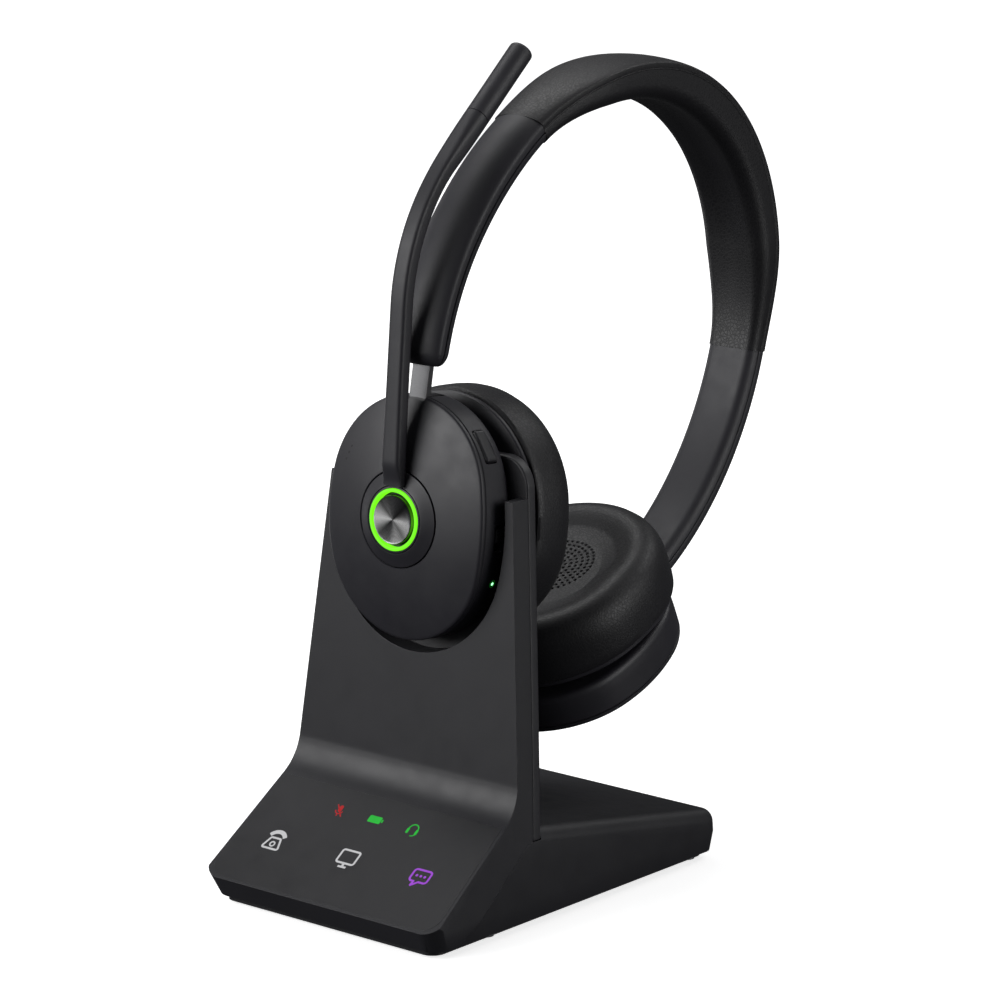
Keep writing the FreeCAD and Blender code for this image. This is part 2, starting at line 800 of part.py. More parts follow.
def make_control(name, place):
    """A button or slider knob, drawn about its own middle with +X pointing out of the disc."""
    depth, height, length, width, proud = CONTROLS[name]
    across, slope = disc_edge(height)
    own = place.multiply(Placement(Vector(across, depth, height), Rotation(Y_AXIS, -slope)))
    body = new_body(name, own)
    block_pad(body, -1.7, -length / 2, 1.7 + proud, length, str(-width / 2), str(width))
    fillet(body, 0.5, lambda p, e: abs(p.x - proud) < 0.01)
    return own


# small screws between the disc's back wall and the neck
NECK_SCREWS = [(-9.5, -9.5), (9.5, -9.5), (-9.5, 9.5), (9.5, 9.5)]


def make_housing(side, place):
    """Deep side wall and back wall of the disc."""
    body = new_body(side + "_housing", place)
    oval_pad(body, disc_oval(), "0", "Sizes.disc_depth")
    oval_pocket(body, disc_oval(size("cup_wall")), "-1", "Sizes.disc_depth - Sizes.cup_wall + 1")
    slot_start, slot_length = ("-1", "9") if side == "left" else ("4.4", "6.6")
    block_pocket(body, -3.8, 25.6, 7.6, 12.0, slot_start, slot_length)
    round_pocket(body, "6", "5", "10")
    for across, up in NECK_SCREWS:
        round_pocket(body, "Sizes.screw_radius + 0.05", "5", "10", across, up)
    if side == "left":
        cut_control_window(body, CONTROLS["volume_button"])
        cut_control_window(body, SWITCH_SLOT)
        for across in CONTACTS:
            round_pocket(body, "1.42", "5", "10", across, CONTACT_HEIGHT)
    return body


def make_speaker_housing(side, place):
    """Neck and flange that carry the cushion; the neck sits in the stand's notch."""
    body = new_body(side + "_speaker_housing", place)
    oval_pad(body, cushion_oval(1.6), "Sizes.flange_start", "Sizes.cushion_start - Sizes.flange_start")
    oval_pad(body, cushion_oval(6.4), "Sizes.cushion_start", "5")
    round_pad(body, "Sizes.neck_radius", "Sizes.disc_depth", "Sizes.flange_start - Sizes.disc_depth")
    round_pocket(body, "Sizes.neck_radius - 2.0", "Sizes.disc_depth + 1.6", "20")
    round_pocket(body, "5", "Sizes.disc_depth - 1", "20")
    for across, up in NECK_SCREWS:
        round_pocket(body, "Sizes.screw_radius + 0.05", "5", "10", across, up)
    return body


def make_cushion(side, place):
    """Soft ear cushion with a shallow well over the speaker."""
    body = new_body(side + "_cushion", place)
    oval_pad(body, cushion_oval(0.0), "Sizes.cushion_start", "Sizes.cushion_depth")
    oval_pocket(body, cushion_oval(6.2), "Sizes.cushion_start - 1", "6.2")
    oval_pocket(body, cushion_oval(size("ear_hole_inset")), "Sizes.cushion_start - 1", "40")
    face = size("cushion_start") + size("cushion_depth")
    fillet(body, size("cushion_rim"), lambda p, e: abs(p.y - face) < 0.01 and math.hypot(p.x, p.z) > 28)
    return body


def make_ear_parts(side, place):
    """Pieces that both cups share."""
    make_housing(side, place)
    make_speaker_housing(side, place)
    make_cushion(side, place)
    well = "Sizes.cushion_start + Sizes.cushion_depth - Sizes.ear_hole_depth"
    grille = new_body(side + "_speaker_pad", place)
    oval_pad(grille, cushion_oval(size("ear_hole_inset") + 0.1), well, "1.2")
    driver = new_body(side + "_driver", place)
    round_pad(driver, "15.6", "Sizes.cushion_start + 2.0", "2.6")
    magnet = new_body(side + "_driver_magnet", place)
    round_pad(magnet, "8", "Sizes.cushion_start - 1.6", "3.6")
    pin = new_body(side + "_pivot_pin", place)
    sketch = new_sketch(pin, "YZ_Plane")
    draw_circle(sketch, "Sizes.pin_radius", size(side + "_pivot_depth"), size("pivot_height"))
    pad(pin, sketch, "15", midplane=True)
    wall_face = size("disc_depth") - size("cup_wall")
    screws = []
    for across, up in NECK_SCREWS:
        head = Part.makeCylinder(2.0, 1.2, Vector(across, wall_face - 1.2, up), Y_AXIS)
        shaft = Part.makeCylinder(size("screw_radius"), 3.0, Vector(across, wall_face, up), Y_AXIS)
        screws.append(head.fuse(shaft))
    group(side + "_screws", screws, place)


def make_left_cup(place):
    """Controls, light ring and electronics of the control side."""
    make_front_cover("left", place, True)
    make_ear_parts("left", place)
    core = new_body("hub_core", place)
    round_pad(core, "Sizes.core_radius", "-7.0", "9.2")
    round_pocket(core, "Sizes.button_radius + Sizes.running_gap", "-8.0", "6.0")
    round_pocket(core, "Sizes.core_radius - 0.3", "-8.0", "2.2")
    ring = new_body("light_ring", place)
    round_pad(ring, "Sizes.core_radius - 0.35", "-7.0", "1.15")
    round_pocket(ring, "Sizes.button_radius + 0.3", "-8.0", "10")
    button = new_body("call_button", place)
    round_pad(button, "Sizes.button_radius", "-7.2", "3.0")
    board = new_body("headset_board", place)
    round_pad(board, "20", "2.2", "1.2")
    round_pocket(board, "3", "0", "10")
    volume = make_control("volume_button", place)
    switch = make_control("power_switch", place)
    print_axis("volume_button press", volume, X_AXIS)
    print_axis("power_switch slide", switch, Z_AXIS)


def make_boom(place):
    """Boom arm with its hub; the arm leaves the hub flat, then bends over the headband."""
    hub = new_body("boom_hub", place)
    round_pad(hub, "Sizes.hub_radius", "-6.6", "5.0")
    round_pocket(hub, "Sizes.core_radius + Sizes.running_gap", "-20", "40")
    front = size("boom_front")
    straight = size("boom_straight")
    radius = size("boom_bend_radius")
    angle = math.radians(size("boom_bend_angle"))
    direction = Vector(0, math.sin(angle), math.cos(angle))
    start = Vector(0, front, 10.4)
    bend_start = Vector(0, front, straight)
    centre = Vector(0, front + radius, straight)
    bend_end = centre + Vector(0, -math.cos(angle), math.sin(angle)) * radius
    middle = centre + Vector(0, -math.cos(angle / 2), math.sin(angle / 2)) * radius
    tip_start = bend_end + direction * (size("boom_end") - size("tip_length"))
    arm = doc.addObject("Part::Feature", "boom_arm")
    arm.Label = "boom_arm"
    path = Part.Wire([
        Part.LineSegment(start, bend_start).toShape(),
        Part.Arc(bend_start, middle, bend_end).toShape(),
        Part.LineSegment(bend_end, tip_start).toShape(),
    ])
    half_wide = size("boom_width") / 2
    half_thick = size("boom_thick") / 2
    outline = Part.makePolygon([
        start + Vector(x * half_wide, y * half_thick, 0)
        for x, y in ((-1, -1), (1, -1), (1, 1), (-1, 1), (-1, -1))
    ])
    arm.Shape = path.makePipeShell([outline], True, True)
    arm.Placement = place
    pieces.append(arm)
    tip = doc.addObject("Part::Feature", "boom_tip")
    tip.Label = "boom_tip"
    length = size("tip_length")
    shell = Part.makeCylinder(size("tip_radius"), length, tip_start, direction)
    end_rim = [edge for edge in shell.Edges if edge.Curve.TypeId == "Part::GeomCircle"
               and (edge.CenterOfMass - tip_start).Length > length / 2]
    shell = shell.makeFillet(1.2, end_rim)
    capsule_start = tip_start + direction * (length - 6.0)
    tip.Shape = shell.cut(Part.makeCylinder(2.1, 4.0, capsule_start, direction))
    tip.Placement = place
    pieces.append(tip)
    capsule = Part.makeCylinder(2.0, 3.0, capsule_start + direction * 0.5, direction)
    group("microphone_capsule", [capsule], place)


# ---------------------------------------------------------------- headband

def edge_curve(depth, end, low, high):
    """Side view of the band's edge curve, moved inwards by a depth, from one height to another.

    Above the spring line it is a quarter of an ellipse, below it an arc. Heights run along the band
    frame's +Z, and the ellipse's parameters run from its apex, with negative ones on the right side.
    """
    line = size("band_spring_line")
    side = end.side
    radius = end.radius - depth
    reach = size("band_half_width") - depth
    centre = reach - radius
    curves = []
    if low < line:
        bottom = math.degrees(math.asin((low - line) / radius))
        top = 0.0 if high > line else math.degrees(math.asin((high - line) / radius))
        if side > 0:
            curves.append(arc_between((centre, line), radius, bottom, top))
        else:
            curves.append(arc_between((-centre, line), radius, 180 - top, 180 - bottom))
    if high > line:
        rise = size("band_rise") - depth
        ellipse = Part.Ellipse(Vector(0, line, 0), rise, reach)
        ellipse.AngleXU = math.pi / 2
        finish = math.acos(max(0.0, min(1.0, (high - line) / rise)))
        begin = math.pi / 2 if low < line else math.acos((low - line) / rise)
        if side > 0:
            curves.append(Part.ArcOfEllipse(ellipse, 2 * math.pi - begin, 2 * math.pi - finish))
        else:
            curves.append(Part.ArcOfEllipse(ellipse, finish, begin))
    return curves


def ends_of(curves):
    """Lowest and highest end of a run of curves, in the sketch's plane."""
    points = []
    for curve in curves:
        points.append(curve.StartPoint)
        points.append(curve.EndPoint)
    points.sort(key=lambda point: point.y)
    return points[0], points[-1]


def draw_slice(sketch, end, outer, inner, low, high):
    """Closed side view of a length of the band between two depths."""
    outside = edge_curve(outer, end, low, high)
    inside = edge_curve(inner, end, low, high)
    outside_low, outside_high = ends_of(outside)
    inside_low, inside_high = ends_of(inside)
    draw_path(sketch, outside + inside)
    draw_path(sketch, [
        Part.LineSegment(outside_low, inside_low),
        Part.LineSegment(outside_high, inside_high),
    ])


def crown_piece(name, outer, inner, width, low=None):
    """A piece over the top of the band, from one seam to the other."""
    body = new_body(name, band)
    low = size("seam_height") if low is None else low
    line = size("band_spring_line")
    sketch = new_sketch(body, "YZ_Plane")
    ends = []
    for depth in (outer, inner):
        rise = size("band_rise") - depth
        reach = size("band_half_width") - depth
        ellipse = Part.Ellipse(Vector(0, line, 0), rise, reach)
        ellipse.AngleXU = math.pi / 2
        turn = math.acos((low - line) / rise)
        sketch.addGeometry(Part.ArcOfEllipse(ellipse, -turn, turn))
        across = reach * math.sin(turn)
        ends.append((across, low))
    for side in (-1, 1):
        start = Vector(side * ends[0][0], ends[0][1], 0)
        end = Vector(side * ends[1][0], ends[1][1], 0)
        sketch.addGeometry(Part.LineSegment(start, end))
    pad(body, sketch, width, midplane=True)
    return body


def slide_channel(body, end, length, width):
    """Straight hollow along the slider's direction, up from the arm's lower end."""
    sketch = new_sketch(body, "YZ_Plane")
    half = size("strip_thick") / 2 + 0.2
    corners = []
    for up, depth in ((-6.0, -half), (length, -half), (length, half), (-6.0, half)):
        point = end.end + end.up * up + end.inwards * depth
        corners.append((point.y, point.z))
    draw_polygon(sketch, corners)
    pocket(body, sketch, width, midplane=True)


def trim_arm_end(body, end):
    """Cuts the arm off square to its slider."""
    sketch = new_sketch(body, "YZ_Plane")
    corners = []
    for up, depth in ((0.0, -15.0), (0.0, 15.0), (-15.0, 15.0), (-15.0, -15.0)):
        point = end.end + end.up * up + end.inwards * depth
        corners.append((point.y, point.z))
    draw_polygon(sketch, corners)
    pocket(body, sketch, "40", midplane=True)


def make_arm(name, end):
    """Outer and inner cover of one arm, with the hollow for the slider between them."""
    low = end.height - 5.0
    high = size("seam_height")
    layers = (
        (name + "_arm_outer_cover", -size("arm_crown"), size("arm_split")),
        (name + "_arm_inner_cover", size("arm_split"), size("arm_thick")),
    )
    for label, outer, inner in layers:
        cover = new_body(label, band)
        sketch = new_sketch(cover, "YZ_Plane")
        draw_slice(sketch, end, outer, inner, low, high)
        pad(cover, sketch, "Sizes.arm_width", midplane=True)
        trim_arm_end(cover, end)
        slide_channel(cover, end, 27.0, "Sizes.strip_width + 0.5")
    # the spring band ends between the covers
    groove = new_sketch(cover, "YZ_Plane")
    depth = size("spring_depth")
    draw_slice(groove, end, depth - 0.1, depth + size("spring_thick") + 0.1, 39.0, high + 0.1)
    pocket(cover, groove, "Sizes.spring_width + 0.4", midplane=True)


def make_headband():
    """Arms, padded top and the spring steel inside."""
    make_arm("left", left_end)
    make_arm("right", right_end)
    depth = size("spring_depth")
    crown_piece("headband_top_cover", -1.0, depth - 0.05, "Sizes.pad_width")
    crown_piece("spring_band", depth, depth + size("spring_thick"), "Sizes.spring_width", 40.0)
    cushion = depth + size("spring_thick") + 0.05
    crown_piece("headband_cushion", cushion, size("pad_thick"), "Sizes.pad_width")


def make_slider(name, end):
    """Steel strip with the barrel that turns on the pivot pin."""
    body = new_body(name + "_slider", end.strip_place)
    foot = 1.6
    start = end.strip_offset - size("strip_thick") / 2
    block_pad(body, -size("strip_width") / 2, -foot, "Sizes.strip_width",
              "Sizes.strip_length + %s" % foot, str(start), "Sizes.strip_thick")
    barrel = new_sketch(body, "YZ_Plane")
    draw_circle(barrel, "Sizes.barrel_radius")
    pad(body, barrel, "Sizes.strip_width", midplane=True)
    hole = new_sketch(body, "YZ_Plane")
    draw_circle(hole, "Sizes.pin_radius + 0.05")
    pocket(body, hole, "20", midplane=True)


# ---------------------------------------------------------------- whole object

def check_document():
    """Stops if any object failed, or any piece has no valid solid."""
    for item in doc.Objects:
        if "Invalid" in item.State or "Error" in item.State:
            raise RuntimeError("%s failed: %s" % (item.Name, item.State))
    for piece in pieces:
        shape = piece.Shape
        if shape.isNull() or not shape.isValid() or not shape.Solids:
            raise RuntimeError(piece.Label + " has no valid solid")


def export_pieces():
    """Writes one STEP file for each piece."""
    os.makedirs("parts", exist_ok=True)
    for piece in pieces:
        piece.Shape.exportStep("parts/%s.step" % piece.Label)
        print("%-26s %8.0f mm3 %d solids" % (piece.Label, piece.Shape.Volume, len(piece.Shape.Solids)))


def main():
    """Builds, checks and writes every piece."""
    make_stand()
    make_contacts()
    make_left_cup(left_cup)
    make_boom(left_cup)
    make_slider("left", left_end)
    make_headband()
    make_slider("right", right_end)
    make_front_cover("right", right_cup, False)
    make_ear_parts("right", right_cup)
    battery = new_body("battery", right_cup)
    block_pad(battery, -13, -17, 26, 34, "1.0", "5.0")
    doc.recompute()
    check_document()
    export_pieces()
    print_axis("headset_lift", left_cup, Z_AXIS)
    print_axis("boom_swing", left_cup, Y_AXIS)
    for end in (left_end, right_end):
        print_axis("cup tilt", Placement(end.pivot, Rotation()), X_AXIS)
        print_axis("slider", end.strip_place, Z_AXIS)
        print("strip offset %.2f, arm end %.2f above the pivot" % (end.strip_offset, end.reach))


main()
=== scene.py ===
"""Looks of a wireless office headset docked on its charging stand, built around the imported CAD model.

Outlines are in millimetres, in the frame of the piece they belong to: the world's for the stand, each
cup's own (+Y from its control disc towards the head, +Z towards its slider) and the headband's own
(+Y from the left arm to the right arm, +Z towards the top of the band). Meshes come out in metres.
"""
import bmesh
import bpy
import json
import math
from mathutils import Matrix, Vector

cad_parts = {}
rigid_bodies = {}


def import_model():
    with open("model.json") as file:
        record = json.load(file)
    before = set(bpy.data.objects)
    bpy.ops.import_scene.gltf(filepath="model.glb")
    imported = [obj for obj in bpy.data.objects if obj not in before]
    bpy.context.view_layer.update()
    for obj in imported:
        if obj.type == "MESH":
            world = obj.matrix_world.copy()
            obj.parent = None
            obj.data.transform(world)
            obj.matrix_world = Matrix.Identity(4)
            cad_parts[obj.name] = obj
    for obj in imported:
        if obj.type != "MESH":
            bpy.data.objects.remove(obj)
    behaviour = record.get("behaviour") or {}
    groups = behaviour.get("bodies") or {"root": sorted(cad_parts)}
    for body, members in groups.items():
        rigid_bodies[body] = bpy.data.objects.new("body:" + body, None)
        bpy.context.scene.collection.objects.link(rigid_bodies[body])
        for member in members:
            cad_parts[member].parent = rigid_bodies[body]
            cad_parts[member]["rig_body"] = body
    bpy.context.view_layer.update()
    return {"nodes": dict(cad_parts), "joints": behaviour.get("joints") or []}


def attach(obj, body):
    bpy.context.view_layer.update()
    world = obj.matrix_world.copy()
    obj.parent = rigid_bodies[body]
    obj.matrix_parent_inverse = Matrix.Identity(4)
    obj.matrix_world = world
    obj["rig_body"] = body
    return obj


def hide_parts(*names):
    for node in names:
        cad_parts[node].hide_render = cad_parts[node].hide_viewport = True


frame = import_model()

MM = 0.001
X, Y, Z = Vector((1, 0, 0)), Vector((0, 1, 0)), Vector((0, 0, 1))

# ---------------------------------------------------------------- frames


def joint(name):
    """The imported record's joint of this name."""
    return next(item for item in frame["joints"] if item["name"] == name)


def axes_frame(origin, x_axis, y_axis, z_axis):
    """Matrix from a frame drawn in millimetres to the world in metres."""
    matrix = Matrix.Identity(4)
    for column, axis in enumerate((x_axis, y_axis, z_axis)):
        for row in range(3):
            matrix[row][column] = axis[row] * MM
    matrix.translation = origin
    return matrix


def leaning(origin, lean, turned=False):
    """Frame in the world's YZ plane, leaned back by an angle and, if turned, facing forwards."""
    angle = math.radians(lean)
    z_axis = Vector((0, math.sin(angle), math.cos(angle)))
    y_axis = Vector((0, math.cos(angle), -math.sin(angle)))
    if turned:
        return axes_frame(origin, -X, -y_axis, z_axis)
    return axes_frame(origin, X, y_axis, z_axis)


PIVOT_HEIGHT = 29.0
RIGHT_PIVOT_DEPTH = 5.9
RIGHT_CUP_LEAN = 66.0
BAND_LEAN = 37.5
BAND_ORIGIN = Vector((0, 29.9, 116.0)) * MM

world = axes_frame(Vector(), X, Y, Z)
cup_normal = -Vector(joint("boom_swing")["axis"])
lift = Vector(joint("headset_lift")["axis"])
left_cup = axes_frame(Vector(joint("boom_swing")["pos_m"]), X, cup_normal, lift)
right_cup = leaning(Vector(), RIGHT_CUP_LEAN, True)
right_pivot = Vector(joint("right_cup_tilt")["pos_m"])
right_cup.translation = right_pivot - right_cup @ Vector((0, RIGHT_PIVOT_DEPTH, PIVOT_HEIGHT))
band = leaning(BAND_ORIGIN, BAND_LEAN)

# ---------------------------------------------------------------- materials


def new_material(name):
    """An empty node material and its main shader."""
    material = bpy.data.materials.new(name)
    material.use_nodes = True
    return material, material.node_tree.nodes["Principled BSDF"]


def set_inputs(node, **inputs):
    """Sets inputs of a node by name."""
    for key, value in inputs.items():
        node.inputs[key.replace("_", " ")].default_value = value


def add_node(material, kind, **inputs):
    """A node of this kind, its inputs set by name."""
    node = material.node_tree.nodes.new(kind)
    set_inputs(node, **inputs)
    return node


def link(material, source, target):
    material.node_tree.links.new(source, target)


def ramp(material, source, *stops):
    """A colour ramp over a factor; stops are places and grey levels or colours."""
    node = material.node_tree.nodes.new("ShaderNodeValToRGB")
    link(material, source, node.inputs["Fac"])
    elements = node.color_ramp.elements
    while len(elements) < len(stops):
        elements.new(0.5)
    for element, (place, colour) in zip(elements, stops):
        element.position = place
        if not isinstance(colour, tuple):
            colour = (colour, colour, colour)
        element.color = (*colour, 1)
    return node.outputs["Color"]


def noise(material, scale, detail=3.0, roughness=0.5):
    """Noise over the object's own coordinates."""
    place = add_node(material, "ShaderNodeTexCoord")
    node = add_node(material, "ShaderNodeTexNoise", Scale=scale, Detail=detail, Roughness=roughness)
    link(material, place.outputs["Object"], node.inputs["Vector"])
    return node.outputs["Fac"]


def tints(colour, darker, lighter):
    """Ends of a colour's spread, by factors."""
    return tuple(value * darker for value in colour), tuple(value * lighter for value in colour)


def bump(material, shader, height, strength, distance):
    node = add_node(material, "ShaderNodeBump", Strength=strength, Distance=distance)
    link(material, height, node.inputs["Height"])
    link(material, node.outputs["Normal"], shader.inputs["Normal"])


def moulded(name, colour, roughness, grain=2600.0, depth=0.00003, spread=0.12):
    """Spark-eroded moulded plastic: fine grain, faint cloudiness in colour and gloss."""
    material, shader = new_material(name)
    dark, light = tints(colour, 1 - spread, 1 + spread)
    cloud = noise(material, 38.0, 4.0)
    link(material, ramp(material, cloud, (0.3, dark), (0.7, light)), shader.inputs["Base Color"])
    rub = noise(material, 160.0, 5.0, 0.6)
    levels = ramp(material, rub, (0.3, roughness - 0.04), (0.7, roughness + 0.05))
    link(material, levels, shader.inputs["Roughness"])
    set_inputs(shader, Specular_IOR_Level=0.5)
    bump(material, shader, noise(material, grain, 2.0), 0.35, depth)
    return material


def leatherette(name, colour):
    """Soft protein leather: pebbled creases over a fine grain, with a low sheen."""
    material, shader = new_material(name)
    place = add_node(material, "ShaderNodeTexCoord")
    cells = add_node(material, "ShaderNodeTexVoronoi", Scale=950.0)
    cells.feature = "DISTANCE_TO_EDGE"
    warp = add_node(material, "ShaderNodeTexNoise", Scale=420.0, Detail=2.0)
    link(material, place.outputs["Object"], warp.inputs["Vector"])
    mix = add_node(material, "ShaderNodeVectorMath")
    mix.operation = "MULTIPLY_ADD"
    mix.inputs[1].default_value = (0.0006, 0.0006, 0.0006)
    link(material, warp.outputs["Color"], mix.inputs[0])
    link(material, place.outputs["Object"], mix.inputs[2])
    link(material, mix.outputs["Vector"], cells.inputs["Vector"])
    creases = ramp(material, cells.outputs["Distance"], (0.0, 0.0), (0.22, 1.0))
    dark, light = tints(colour, 0.8, 1.15)
    link(material, ramp(material, noise(material, 60.0, 4.0), (0.35, dark), (0.65, light)),
         shader.inputs["Base Color"])
    link(material, ramp(material, creases, (0.0, 0.60), (1.0, 0.46)), shader.inputs["Roughness"])
    set_inputs(shader, Specular_IOR_Level=0.45, Sheen_Weight=0.01, Sheen_Roughness=0.4)
    bump(material, shader, creases, 0.35, 0.00005)
    return material


def metal(name, colour, roughness, stretch=(1.0, 1.0, 1.0), scale=900.0):
    """Bare metal with fine brush marks."""
    material, shader = new_material(name)
    place = add_node(material, "ShaderNodeTexCoord")
    mapping = add_node(material, "ShaderNodeMapping", Scale=stretch)
    marks = add_node(material, "ShaderNodeTexNoise", Scale=scale, Detail=4.0)
    link(material, place.outputs["Object"], mapping.inputs["Vector"])
    link(material, mapping.outputs["Vector"], marks.inputs["Vector"])
    dark, light = tints(colour, 0.85, 1.12)
    link(material, ramp(material, marks.outputs["Fac"], (0.3, dark), (0.7, light)),
         shader.inputs["Base Color"])
    levels = ramp(material, marks.outputs["Fac"], (0.3, roughness - 0.06), (0.7, roughness + 0.08))
    link(material, levels, shader.inputs["Roughness"])
    shader.inputs["Metallic"].default_value = 1.0
    bump(material, shader, marks.outputs["Fac"], 0.2, 0.00002)
    return material


def glowing(name, colour, strength):
    """A lit, slightly uneven light guide, or a painted glow round one."""
    material, shader = new_material(name)
    patches = noise(material, 500.0, 2.0)
    dim, full = tints(colour, 0.9, 1.0)
    link(material, ramp(material, patches, (0.3, dim), (0.7, full)), shader.inputs["Emission Color"])
    set_inputs(shader, Base_Color=(0.02, 0.02, 0.02, 1), Emission_Strength=strength,
               Specular_IOR_Level=0.2, Roughness=0.55)
    return material


STAND_BLACK = moulded("stand_plastic", (0.0130, 0.0128, 0.0160), 0.47)
REAR_BLACK = moulded("stand_rear_plastic", (0.0118, 0.0116, 0.0142), 0.48)
PANEL_BLACK = moulded("touch_panel_plastic", (0.0130, 0.0128, 0.0150), 0.42, grain=4200.0, depth=0.00001)
HEADSET_BLACK = moulded("headset_plastic", (0.0150, 0.0145, 0.0190), 0.47)
ARM_BLACK = moulded("arm_plastic", (0.0165, 0.0160, 0.0205), 0.52)
BOOM_BLACK = moulded("boom_plastic", (0.0160, 0.0155, 0.0198), 0.50)
CONTROL_BLACK = moulded("control_plastic", (0.016, 0.0158, 0.0185), 0.35)
# near-black colour of the contact block, also the painted shade of the pick-up holes
NEAR_BLACK_AND_HOLE_SHADE = moulded("near_black_plastic_and_painted_hole_shade", (0.004, 0.004, 0.0045), 0.6)
RUBBER = moulded("rubber", (0.010, 0.010, 0.010), 0.8, grain=1500.0, depth=0.00008)
LEATHER = leatherette("leatherette", (0.0058, 0.0056, 0.0072))
# painted shade: the pads' leatherette made darker for the headband, whose underside lies in shade
BAND_LEATHER_SHADED = leatherette("band_leatherette_darkened_for_shade", (0.0050, 0.0048, 0.0062))
PIPING = leatherette("piping", (0.008, 0.008, 0.0092))
STEEL = metal("satin_steel", (0.42, 0.42, 0.44), 0.30, (1.0, 1.0, 12.0))
SLIDER_STEEL = metal("slider_steel", (0.10, 0.10, 0.103), 0.38, (1.0, 1.0, 12.0))
SCREW_STEEL = metal("screw_steel", (0.25, 0.25, 0.26), 0.35)
GOLD = metal("gold_plate", (0.83, 0.62, 0.28), 0.28)
BOARD_GREEN = moulded("circuit_board", (0.015, 0.10, 0.045), 0.45, spread=0.25)
BATTERY_WRAP = moulded("battery_wrap", (0.09, 0.10, 0.14), 0.4)
WHITE_ICON = glowing("white_icon", (0.9, 0.9, 0.92), 0.62)
RED_ICON = glowing("red_icon", (0.75, 0.005, 0.008), 0.55)
GREEN_ICON = glowing("green_icon", (0.012, 0.80, 0.05), 0.60)
VIOLET_ICON = glowing("violet_icon", (0.40, 0.07, 0.75), 0.85)
RING_GREEN = glowing("ring_light", (0.16, 0.80, 0.01), 1.35)
DOT_GREEN = glowing("dot_light", (0.25, 0.95, 0.35), 3.0)
# painted glow: the halo of light round the charge light, drawn as a dim emitting disc
PAINTED_HALO_GREEN = glowing("halo_light", (0.01, 0.32, 0.03), 0.10)


# fans of painted highlight and painted shade on the turned call button
FAN_STEPS = 8
HIGHLIGHT_FAN_GREYS = (0.30, 0.06)


def spun_metal():
    """Turned aluminium: concentric tool marks, and painted fans for the highlights these leave.

    The light and dark fans are painted highlights and painted shade, fixed in the colour round the button's
    axis.
    """
    material, shader = new_material("spun_metal")
    place = add_node(material, "ShaderNodeTexCoord")
    marks = add_node(material, "ShaderNodeTexWave", Scale=900.0, Distortion=0.6, Detail=2.0)
    marks.wave_type = "RINGS"
    marks.rings_direction = "Y"
    link(material, place.outputs["Object"], marks.inputs["Vector"])
    fans = add_node(material, "ShaderNodeTexGradient")
    fans.gradient_type = "RADIAL"
    upright = add_node(material, "ShaderNodeMapping", Rotation=(math.pi / 2, 0.0, 0.0))
    link(material, place.outputs["Object"], upright.inputs["Vector"])
    link(material, upright.outputs["Vector"], fans.inputs["Vector"])
    # painted highlights: alternating light and dark fans of base colour round the button's axis
    greys = [(step / FAN_STEPS, HIGHLIGHT_FAN_GREYS[step % 2]) for step in range(FAN_STEPS + 1)]
    link(material, ramp(material, fans.outputs["Fac"], *greys), shader.inputs["Base Color"])
    levels = ramp(material, marks.outputs["Fac"], (0.0, 0.26), (1.0, 0.34))
    link(material, levels, shader.inputs["Roughness"])
    shader.inputs["Metallic"].default_value = 1.0
    shader.inputs["Anisotropic"].default_value = 0.85
    tangent = material.node_tree.nodes.new("ShaderNodeTangent")
    tangent.direction_type = "RADIAL"
    tangent.axis = "Y"
    link(material, tangent.outputs["Tangent"], shader.inputs["Tangent"])
    bump(material, shader, marks.outputs["Fac"], 0.15, 0.00001)
    return material


SPUN_METAL = spun_metal()

# ---------------------------------------------------------------- mesh helpers


WELD = 0.0005


def mesh_of(drawn, name):
    """A mesh from a bmesh, which is freed."""
    mesh = bpy.data.meshes.new(name)
    drawn.to_mesh(mesh)
    drawn.free()
    return mesh


def add_object(name, data):
    """A new object in the scene."""
    item = bpy.data.objects.new(name, data)
    bpy.context.scene.collection.objects.link(item)
    return item


def make_piece(name, mesh_maker, place, material, body, *replaced, slot=None, sharp=35.0,
               own_axes=False):
    """An object from a bmesh drawn in millimetres in a frame; it rides on a body and replaces nodes.

    Its place is in its vertices, unless its material needs the frame's own axes.
    """
    drawn = bmesh.new()
    mesh_maker(drawn)
    bmesh.ops.remove_doubles(drawn, verts=drawn.verts, dist=WELD)
    bmesh.ops.recalc_face_normals(drawn, faces=drawn.faces)
    drawn.transform(Matrix.Diagonal((MM, MM, MM, 1)) if own_axes else place)
    piece = add_object(name, mesh_of(drawn, name))
    if own_axes:
        piece.matrix_world = place @ Matrix.Diagonal((1 / MM, 1 / MM, 1 / MM, 1))
    return finish_piece(piece, material, body, replaced, sharp)


def finish_piece(piece, material, body, replaced, sharp=35.0):
    """Shading, material, body and replaced nodes of a piece."""
    mesh = piece.data
    mesh.materials.clear()
    mesh.materials.append(material)
    mesh.shade_smooth()
    mesh.set_sharp_from_angle(angle=math.radians(sharp))
    weighted = piece.modifiers.new("weighted", "WEIGHTED_NORMAL")
    weighted.keep_sharp = True
    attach(piece, body)
    if replaced:
        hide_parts(*replaced)
    return piece


def bridge(drawn, lower, upper):
    """Skins two rings of vertices with quads."""
    for step in range(len(lower)):
        following = (step + 1) % len(lower)
        drawn.faces.new((lower[step], lower[following], upper[following], upper[step]))


def add_rings(drawn, rings, close_start=True, close_end=True, around=False):
    """Skins rings of points with quads; the ends get fans round their middles."""
    grid = [[drawn.verts.new(point) for point in ring] for ring in rings]
    pairs = list(zip(grid, grid[1:]))
    if around:
        pairs.append((grid[-1], grid[0]))
    for lower, upper in pairs:
        bridge(drawn, lower, upper)
    if close_start:
        add_fan(drawn, grid[0])
    if close_end:
        add_fan(drawn, grid[-1])


def add_fan(drawn, ring):
    """Closes a ring of vertices with triangles round its middle."""
    centre = sum((vertex.co for vertex in ring), Vector()) / len(ring)
    middle = drawn.verts.new(centre)
    for step in range(len(ring)):
        drawn.faces.new((ring[step], ring[(step + 1) % len(ring)], middle))


